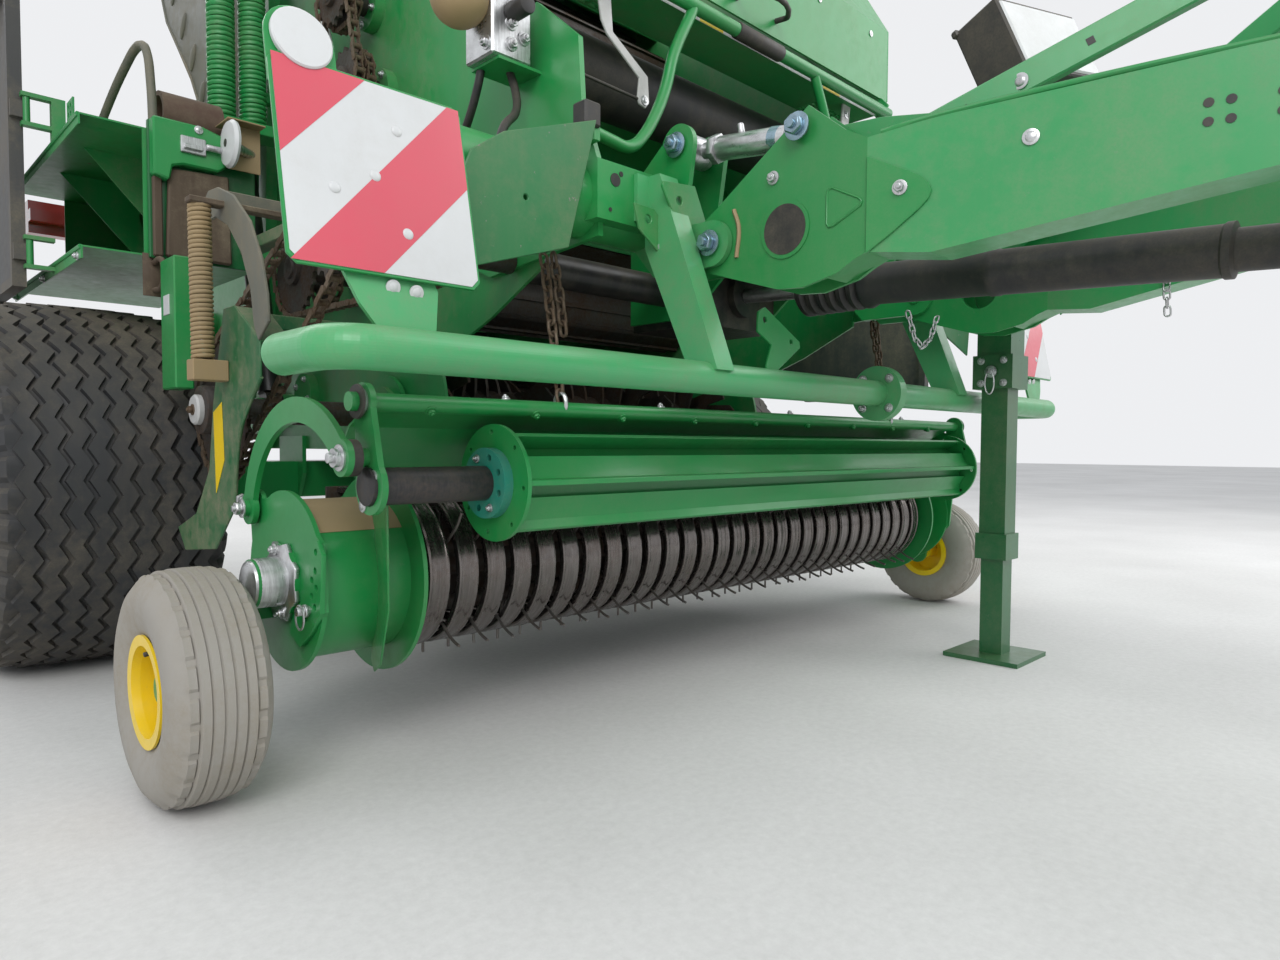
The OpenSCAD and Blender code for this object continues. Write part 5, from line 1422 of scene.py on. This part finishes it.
class BALER_OT_chain_cover(bpy.types.Operator):
    """Models the chain cover, dirty and in the darker green of painted shade, with its rolled edges and the
    blank yellow plate
    """

    bl_idname = "baler.chain_cover"
    bl_label = "Chain cover"

    def execute(self, context):
        corners = [(0.180, 0.770), (0.310, 0.850), (0.370, 0.850), (0.440, 0.660), (0.470, 0.520),
                   (0.560, 0.420), (0.690, 0.380), (0.640, 0.330), (0.440, 0.350), (0.330, 0.440),
                   (0.290, 0.600), (0.180, 0.700)]
        cover = plate(corners, "X", -1.097, 0.005, 0.0015)
        top = [(0.180, 0.765), (0.306, 0.843), (0.303, 0.848), (0.177, 0.770)]
        top = plate(top, "X", -1.096, 0.062, 0.001)
        edge = tube([(-1.094, y, z) for y, z in corners[9:]], 0.004)
        keep(join([cover, top]), "chain_cover", "green_dirt_and_painted_shade", "frame", ["chain_guard"])
        keep(edge, "chain_cover_edge", "green_dirt_and_painted_shade", "frame", angle=60)
        arm = block((-1.093, 0.320, 0.812), (WALL, 0.350, 0.842), 0.002)
        keep(arm, "cover_arm", "green_dirt_and_painted_shade", "frame")
        sign = [(0.385, 0.660), (0.435, 0.640), (0.425, 0.470), (0.375, 0.540)]
        keep(plate(sign, "X", -1.0985, 0.0012, 0.0003), "blank_yellow_plate", "yellow", "frame")
        return {"FINISHED"}


class BALER_OT_net_box(bpy.types.Operator):
    """Dresses the net box: rolled tray edge, louvres, drum caps, bent arms, levers and the black grip"""

    bl_idname = "baler.net_box"
    bl_label = "Net box"

    def execute(self, context):
        rail, roller, front = (-0.150, 1.578), (0.110, 1.470), (0, -1, 0)
        keep_bars("frame", (
            ("net_rail", "green", (-0.640, *rail), (0.640, *rail), 0.016, 24, 0.002),
            ("net_grip", "plastic", (-0.09, *rail), (0.09, *rail), 0.0195, 24, 0.004)))
        corners = [(-0.150, 1.560), (-0.130, 1.560), (-0.100, 1.600), (-0.100, 1.640), (-0.125, 1.640),
                   (-0.165, 1.596)]
        for side, tag in SIDES:
            arm = plate(corners, "X", side * 0.616 - 0.004, 0.008, 0.001)
            keep(arm, "net_rail_arm_" + tag, "green", "frame")
        louvres = []
        for side in (RIGHT, LEFT):
            for x in [0.400 + i * 0.032 for i in range(6)]:
                for y in [-0.052 + j * 0.024 for j in range(3)]:
                    louvres.append(side_block(side, (x, y, 1.5715), (x + 0.024, y + 0.002, 1.5790)))
        keep(join(louvres), "louvre_lips", "green", "frame")
        bent = [(0.247, 1.572), (0.252, 1.560), (0.311, 1.448), (0.337, 1.366), (0.369, 1.298),
                (0.413, 1.235), (0.435, 1.216), (0.461, 1.207), (0.492, 1.209), (0.614, 1.222)]
        cranked = [(0.505, 1.574), (0.462, 1.574), (0.452, 1.465), (0.345, 1.402), (0.340, 1.345),
                   (0.352, 1.330), (0.372, 1.335), (0.377, 1.350), (0.372, 1.392), (0.470, 1.455),
                   (0.486, 1.480)]
        sides_of_box = [(-0.060, 1.630), (0.060, 1.640), (0.200, 1.960), (0.280, 2.100), (0.020, 1.880)]
        for side, tag in SIDES:
            rod = tube([(side * x, rail[0], z) for x, z in bent], 0.0135, sides=14)
            keep(rod, "bent_arm_" + tag, "green", "frame", angle=60)
            lever = plate(mirrored(cranked, side)[::-side], "Y", -0.104, 0.006, 0.0015)
            keep(lever, "cranked_lever_" + tag, "silver_paint", "frame")
            spots = [((side * x, -0.1045, z), front) for x, z in ((0.357, 1.346), (0.480, 1.545))]
            bolts("lever_bolts_" + tag, "frame", spots, 0.009, "zinc", "dome")
            pull = bar((side * 0.360, -0.100, 1.346), (side * 0.612, -0.100, 1.352), 0.0035, 12)
            keep(pull, "pull_rod_" + tag, "plastic", "frame")
            cap = bar((side * 0.560, *roller), (side * 0.570, *roller), 0.086, 48, 0.003)
            keep(cap, "drum_cap_" + tag, "dark_steel", "frame")
            spots = [((side * 0.6195, y, z), (side, 0, 0)) for y, z in sides_of_box]
            bolts("net_side_bolts_" + tag, "frame", spots, 0.009)
        drum = bar((-0.559, *roller), (0.559, *roller), 0.0853, 64, 0.001)
        keep(drum, "net_roller", "plastic", "frame", ["net_drum"])
        keep_blocks("frame", (
            ("pale_edge", "white", (-0.612, -0.1215, 1.5725), (0.612, -0.1205, 1.5800), 0.0003),
            ("yellow_mark_-19", "yellow", (-0.190, -0.1225, 1.5728), (-0.105, -0.1214, 1.5797), 0.0003),
            ("yellow_mark_33", "yellow", (0.330, -0.1225, 1.5728), (0.415, -0.1214, 1.5797), 0.0003)))
        spots = [((x, -0.1402, 1.790), front) for x in (-0.55, -0.28, 0.0, 0.28, 0.55)]
        bolts("lid_screws", "lid", spots, 0.007, "zinc", "dome")
        grip = tube([(x, y, 1.660) for x, y in ((-0.080, -0.142), (-0.080, -0.180), (0.080, -0.180),
                                                (0.080, -0.142))], 0.007, sides=12)
        keep(grip, "lid_handle", "plastic", "lid", angle=60)
        lid_edge = [(-0.137, 1.622), (-0.137, 1.828), (0.021, 2.096), (0.285, 2.224)]
        for side, tag in SIDES:
            seam = tube([(side * 0.6505, y, z) for y, z in lid_edge], 0.004, smooth=False)
            keep(seam, "lid_edge_" + tag, "green", "lid", angle=60)
        return {"FINISHED"}


class BALER_OT_racks(bpy.types.Operator):
    """Dresses the twine racks: rolled edges, gusset rims, slotted tabs, rings and the dirty housing, whose
    panel is in the darker green of painted shade
    """

    bl_idname = "baler.racks"
    bl_label = "Twine racks"

    def execute(self, context):
        hook_path = [(0.829, 1.010), (0.770, 1.010), (0.755, 0.995), (0.755, 0.960), (0.770, 0.945),
                     (0.826, 0.945)]
        hook_back = {"right": [(-1.125, 0.930), (-1.075, 0.930), (-1.075, 1.032), (-1.125, 1.032)],
                     "left": [(1.075, 0.930), (1.125, 0.930), (1.125, 1.032), (1.075, 1.032)]}
        for side, tag in SIDES:
            x = side * 1.250
            for z, name in ((1.0265, "low"), (1.3265, "high")):
                seam = tube([(x, 0.832, z), (x, 1.678, z)], 0.0055, smooth=False)
                keep(seam, "rack_edge_%s_%s" % (name, tag), "green", "frame", angle=60)
            tabs = []
            for y in (0.900, 1.560):
                corners = [(y, 1.328), (y + 0.060, 1.328), (y + 0.060, 1.385), (y, 1.385)]
                holes = [(y + dy, z, r) for z, r in ((1.352, 0.006), (1.371, 0.005)) for dy in (0.02, 0.042)]
                tabs.append(plate(corners, "X", x - side * 0.004, 0.004, 0.001, holes))
            keep(join(tabs), "slotted_tabs_" + tag, "green", "frame")
            hook = tube([(side * 1.10, y, z) for y, z in hook_path], 0.007, sides=12)
            back = plate(hook_back[tag], "Y", 0.826, 0.004, 0.001)
            keep(join([hook, back]), "rack_hook_" + tag, "brown" if side < 0 else "green", "frame", angle=60)
            spots = [((x + side * 0.0003, y, 1.008), (side, 0, 0)) for y in (0.86, 1.25, 1.65)]
            bolts("rack_bolts_" + tag, "frame", spots, 0.008)

        cap = [(-1.110, 1.349), (-1.110, 1.215), (-1.075, 1.205), (-1.068, 1.240), (-1.045, 1.248),
               (-0.965, 1.248), (-0.945, 1.262), (-0.945, 1.335), (-1.000, 1.349)]
        keep(plate(cap[::-1], "Y", 0.780, 0.035, 0.004), "end_cap", "green", "frame")
        flap = [(-1.080, 1.026), (-0.930, 1.026), (-0.935, 1.245), (-1.072, 1.238)]
        keep(plate(flap, "Y", 0.796, 0.018, 0.004), "rubber_flap", "brown", "frame")
        # The end panel is in the darker green of painted shade; the arch rail has it too, with heavy dirt
        keep_blocks("frame", (
            ("end_panel", "dark_green", (-1.112, 0.815, 1.021), (-0.865, 0.829, 1.349), 0.002),
            ("dirty_strip", "brown", (-1.106, 0.800, 1.024), (-1.086, 0.816, 1.214), 0.003),
            ("latch_plate", "zinc", (-1.052, 0.772, 1.276), (-0.995, 0.781, 1.316), 0.002),
            ("arch_arm", "grey_dirty", (-1.096, 0.385, 1.060), (-0.865, 0.400, 1.095), 0.002),
            ("arch_rail", "green_dirt_and_painted_shade", (-0.905, 0.385, 1.060), (-0.865, 0.830, 1.090), 0.002),
            ("rack_post", "green", (-1.111, 0.640, 0.700), (-1.071, 0.740, 1.000), 0.003),
            ("blank_label", "white", (-1.1135, 0.672, 0.870), (-1.1110, 0.712, 0.915), 0.0005)))
        latch = [block((-1.046, 0.764, 1.284), (-1.004, 0.773, 1.296), 0.002),
                 bar((-0.996, 0.768, 1.297), (-0.958, 0.768, 1.297), 0.008, 16, 0.002)]
        keep(join(latch), "latch_bolt", "zinc", "frame")
        bolts("cap_bolt", "frame", [((-1.010, 0.779, 1.338), (0, -1, 0))], 0.008, "zinc", "dome")
        profile = [(0.0, -0.012), (0.030, -0.012), (0.052, -0.008), (0.058, 0.000), (0.056, 0.006),
                   (0.0, 0.006)]
        knob = (0.740, 1.310)
        keep(turned(profile, -0.950, knob, 40), "white_knob", "white", "frame")
        keep_bars("frame", (
            ("knob_screw", "plastic", (-0.963, *knob), (-0.9605, *knob), 0.010, 16, 0.001),
            ("knob_stem", "zinc", (-0.948, *knob), (-0.880, 0.790, 1.310), 0.012, 16, 0.002)))
        tin = [block(a, b, 0.001) for a, b in (
            ((-0.942, 0.778, 1.262), (-0.864, 0.782, 1.372)),
            ((-0.955, 0.740, 1.372), (-0.864, 0.830, 1.376)),
            ((-0.870, 0.780, 1.300), (-0.864, 0.829, 1.372)))]
        keep(join(tin), "tan_plate", "tan", "frame")
        profile = [(0.0585, -0.070), (0.0585, 0.070), (0.0470, 0.070), (0.0470, -0.070), (0.0585, -0.070)]
        keep(turned(profile, -1.000, (0.895, 1.3890), 40), "rusty_ring", "rust", "frame")
        path = [(-1.150, 1.220, 1.331), (-1.130, 1.120, 1.440), (-1.112, 0.960, 1.532),
                (-1.108, 0.925, 1.545), (-1.104, 0.885, 1.545), (-1.102, 0.850, 1.520),
                (-1.098, 0.835, 1.440), (-1.095, 0.834, 1.335)]
        keep(tube(path, 0.0105, sides=12), "bent_rod", "grey_dirty", "frame", angle=60)
        arch = [(0.480, 1.050), (0.470, 1.085), (0.440, 1.102), (0.385, 1.098), (0.300, 1.065),
                (0.215, 1.000), (0.160, 0.920), (0.135, 0.850), (0.130, 0.800), (0.180, 0.769),
                (0.200, 0.800), (0.215, 0.870), (0.260, 0.945), (0.330, 1.010), (0.400, 1.040),
                (0.440, 1.040)]
        keep(plate(arch[::-1], "X", -1.100, 0.006, 0.0015), "arch_plate", "grey_dirty", "frame")
        return {"FINISHED"}


class BALER_OT_hydraulics(bpy.types.Operator):
    """Models the valve block with its plugs and coils, the oil ball and the two hoses"""

    bl_idname = "baler.hydraulics"
    bl_label = "Hydraulics"

    def execute(self, context):
        body = block((-0.745, -0.075, 1.3363), (-0.650, 0.020, 1.470), 0.004)
        keep(body, "valve_body", "zinc", "frame", ["valve_block"])
        ball = start("uv_sphere", segments=36, ring_count=18, radius=0.0575, location=(-0.790, -0.030, 1.440))
        keep(ball, "oil_ball", "tan", "frame", angle=60)
        nut = bar((-0.740, -0.030, 1.440), (-0.752, -0.030, 1.440), 0.022, 6, 0.001)
        keep(nut, "ball_nut", "zinc", "frame")
        plugs = [((-0.700, -0.0755, z), (0, -1, 0)) for z in (1.365, 1.405, 1.445)]
        plugs += [((-0.7455, -0.055, 1.360), (-1, 0, 0)), ((-0.670, -0.0755, 1.385), (0, -1, 0))]
        bolts("valve_plugs", "frame", plugs, 0.011)
        coils = [bar((-0.700, -0.076, 1.425), (-0.700, -0.130, 1.425), 0.019, 24, 0.003),
                 bar((-0.672, -0.030, 1.470), (-0.672, -0.030, 1.525), 0.019, 24, 0.003)]
        keep(join(coils), "valve_coils", "plastic", "frame")
        hoses = {
            "hose_a": [(-0.720, 0.000, 1.336), (-0.722, 0.010, 1.300), (-0.715, 0.060, 1.240),
                       (-0.690, 0.150, 1.200), (-0.660, 0.200, 1.150), (-0.640, 0.235, 1.050),
                       (-0.637, 0.240, 0.980)],
            "hose_b": [(-0.672, -0.030, 1.336), (-0.672, -0.050, 1.290), (-0.700, -0.090, 1.230),
                       (-0.760, -0.130, 1.170), (-0.780, -0.140, 1.1195)]}
        for name, points in hoses.items():
            keep(tube(points, 0.0085, sides=12), name, "plastic", "frame", angle=60)
        return {"FINISHED"}


class BALER_OT_body_fittings(bpy.types.Operator):
    """Adds the bearings' bolts and caps, the lamps' lenses and the doors' handles"""

    bl_idname = "baler.body_fittings"
    bl_label = "Body fittings"

    def execute(self, context):
        for end, body, angles in (("front", "frame", FRONT_ROLLERS), ("rear", "gate", REAR_ROLLERS)):
            spots, caps = [], []
            for a in angles:
                axis = roller_at(a)
                for side in (RIGHT, LEFT):
                    ring = around(axis, 0.044, [d + a for d in (45, 135, 225, 315)])
                    spots += [((side * 0.6412, *p), (side, 0, 0)) for p in ring]
                    if side > 0 or end == "rear":
                        caps.append(bar((side * 0.6405, *axis), (side * 0.656, *axis), 0.024, 24, 0.003))
            bolts("bearing_bolts_" + end, body, spots, 0.0075)
            keep(join(caps), "bearing_caps_" + end, "black", body)
        # Near and far x and the y of each door's handle
        handles = {"right": (-1.304, -1.275, 2.110), "left": (1.296, 1.325, 0.130)}
        for side, tag in SIDES:
            lens = block((side * 0.960, 2.1290, 1.315), (side * 1.020, 2.1360, 1.385), 0.003)
            keep(lens, "lamp_amber_" + tag, "yellow", "gate")
            back = bar((side * 1.085, 2.1290, 1.350), (side * 1.085, 2.1380, 1.350), 0.030, 32, 0.003)
            keep(back, "lamp_round_" + tag, "lamp", "gate")
            near, far, y = handles[tag]
            path = [(near, y, 1.15), (far, y, 1.15), (far, y, 1.30), (near, y, 1.30)]
            keep(tube(path, 0.008, sides=12), "door_handle_" + tag, "plastic", "door_" + tag, angle=60)
        return {"FINISHED"}


class BALER_OT_spring_panel(bpy.types.Operator):
    """Models the dusty panel with oval dents behind the green springs, and the blank plate beside it"""

    bl_idname = "baler.spring_panel"
    bl_label = "Spring panel"

    def execute(self, context):
        edge = [(1.020, 1.450), (1.330, 1.450), (1.430, 1.640), (1.500, 1.740), (1.600, 1.850),
                (1.740, 2.000), (1.790, 2.100), (1.780, 2.180), (1.020, 2.180)]
        parts = [plate(edge, "X", -0.803, 0.003, 0.001)]
        for y, z, a in ((1.48, 1.80, 30), (1.57, 1.93, 35), (1.40, 1.66, 25), (1.66, 2.07, 35),
                        (1.30, 1.90, 0), (1.30, 1.70, 0)):
            dent = start("uv_sphere", segments=28, ring_count=14, radius=1, location=(0, 0, 0))
            dent.data.transform(Matrix.Translation((-0.804, y, z)) @ Matrix.Rotation(math.radians(a), 4, "X")
                                @ Matrix.Diagonal((0.007, 0.018, 0.042, 1)))
            parts.append(dent)
        keep(join(parts), "spring_panel", "grey_dirty", "frame", angle=60)
        rim = tube([(-0.8015, y, z) for y, z in edge[:8]], 0.006, smooth=False)
        keep(rim, "spring_panel_rim", "grey_dirty", "frame", angle=60)
        ties = [block((-0.802, 1.060, z), (end, 1.090, z + 0.030), 0.002)
                for z, end in ((1.560, WALL), (2.000, HOUSING))]
        keep(join(ties), "spring_panel_ties", "green_dusty", "frame")
        white = [(0.870, 1.610), (0.720, 1.500), (0.700, 1.610), (0.735, 1.700), (0.860, 1.730)]
        keep(plate(white, "X", -0.7045, 0.003, 0.001), "blank_white_plate", "white_speckled", "frame")
        keep_blocks("frame", (
            ("panel_label", "white", (-0.8065, 1.300, 1.500), (-0.8045, 1.345, 1.545), 0.0005),
            ("blank_plate_arm", "green_dusty", (-0.702, 0.780, 1.560), (HOUSING, 0.800, 1.600), 0.001)))
        return {"FINISHED"}


# Bracket over the drawbar


def beam(p, q, wide, tall, edge):
    """A straight bar of rectangular section from p to q."""
    p, q = Vector(p), Vector(q)
    made = block((-wide / 2, -tall / 2, 0), (wide / 2, tall / 2, (q - p).length), edge)
    made.data.transform(facing(p, q - p))
    return made


class BALER_OT_bracket(bpy.types.Operator):
    """Models the two arms that rise over the drawbar, and the black box between them"""

    bl_idname = "baler.bracket"
    bl_label = "Bracket"

    def execute(self, context):
        foot, tip = (0.352, -0.652, 1.074), (0.020, -1.440, 1.441)
        rim_corners = [(-0.570, 1.157), (-0.700, 1.146), (-0.790, 1.128), (-0.800, 1.100), (-0.640, 1.090),
                       (-0.570, 1.110)]
        for side, tag in SIDES:
            p, q = [Vector(end) for end in mirrored((foot, tip), side)]
            # The arms and the head's rims take the paler green of painted sheen
            keep(beam(p, q, 0.026, 0.050, 0.003), "bracket_arm_" + tag, "green_painted_sheen", "frame")
            across = facing((0, 0, 0), q - p).to_3x3() @ X
            face = across * math.copysign(0.0135, across.x * side)
            # Black squares on the arms: painted shade for their holes
            marks = []
            for t in (0.20, 0.42, 0.62):
                mark = block((-0.0002, -0.006, -0.006), (0.0002, 0.006, 0.006))
                mark.data.transform(facing(p.lerp(q, t) + face, q - p))
                marks.append(mark)
            keep(join(marks), "bracket_holes_" + tag, "plastic", "frame")
            spots = [(p.lerp(q, 0.30) + face * 0.96 - Z * 0.004, Vector((side, 0, 0)))]
            bolts("bracket_bolts_" + tag, "frame", spots, 0.011, "zinc", "dome")
            rim = plate(rim_corners, "X", -0.3695 if side < 0 else 0.3655, 0.004, 0.001)
            keep(rim, "head_rim_" + tag, "green_painted_sheen", "frame")
        keep_blocks("frame", (
            ("bracket_tip", "green", (-0.030, -1.470, 1.418), (0.135, -1.425, 1.426), 0.001),
            ("bracket_shelf", "green", (-0.262, -0.880, 1.158), (0.262, -0.820, 1.164), 0.001)))
        legs = [block((x - 0.015, -0.850, 1.163), (x + 0.015, -0.842, 1.262), 0.001) for x in (-0.110, 0.050)]
        keep(join(legs), "box_legs", "green", "frame")
        turn = Matrix(((-0.213, 0.080, 0.974, -0.159), (-0.913, -0.370, -0.170, -0.727),
                       (0.347, -0.926, 0.152, 1.348), (0, 0, 0, 1)))
        for name, look, low, high in (("bracket_box", "plastic", (0, 0, 0), (0.093, 0.148, 0.264)),
                                      ("box_front", "white", (0.090, 0.008, 0.006), (0.0965, 0.140, 0.258)),
                                      ("box_lip", "black", (-0.004, -0.004, -0.004), (0.010, 0.010, 0.268))):
            piece = block(low, high, 0.003)
            piece.data.transform(turn)
            keep(piece, name, look, "frame")
        return {"FINISHED"}


# Add-on


class BALER_PT_pieces(bpy.types.Panel):
    """Lists the pieces, their sizes and colours"""

    bl_idname = "BALER_PT_pieces"
    bl_label = "Round baler"
    bl_space_type = "VIEW_3D"
    bl_region_type = "UI"
    bl_category = "Baler"

    def draw(self, context):
        for settings in (context.scene.baler_sizes, context.scene.baler_colours):
            column = self.layout.column()
            for key in settings.bl_rna.properties.keys():
                if key not in {"rna_type", "name"}:
                    column.prop(settings, key)
        for operator in OPERATORS:
            self.layout.operator(operator.bl_idname)


OPERATORS = [
    BALER_OT_finishes, BALER_OT_main_tyres, BALER_OT_gauge_tyres, BALER_OT_wheel_bolts, BALER_OT_bands,
    BALER_OT_reel, BALER_OT_press_roller, BALER_OT_press_fittings, BALER_OT_pickup_ends, BALER_OT_boards,
    BALER_OT_guard_fittings, BALER_OT_hold_chains, BALER_OT_drive, BALER_OT_springs,
    BALER_OT_drawbar_fittings, BALER_OT_top_links, BALER_OT_power_shaft, BALER_OT_jack_fittings,
    BALER_OT_chain_cover, BALER_OT_net_box, BALER_OT_racks, BALER_OT_hydraulics, BALER_OT_body_fittings,
    BALER_OT_spring_panel, BALER_OT_bracket, BALER_OT_stage,
]
CLASSES = [BalerSizes, BalerColours, *OPERATORS, BALER_PT_pieces]


def register():
    for kind in CLASSES:
        bpy.utils.register_class(kind)
    bpy.types.Scene.baler_sizes = bpy.props.PointerProperty(type=BalerSizes)
    bpy.types.Scene.baler_colours = bpy.props.PointerProperty(type=BalerColours)


def unregister():
    del bpy.types.Scene.baler_colours
    del bpy.types.Scene.baler_sizes
    for kind in reversed(CLASSES):
        bpy.utils.unregister_class(kind)


def main():
    register()
    for operator in OPERATORS:
        name = operator.bl_idname.split(".")[1]
        getattr(bpy.ops.baler, name)()


if __name__ == "__main__":
    main()
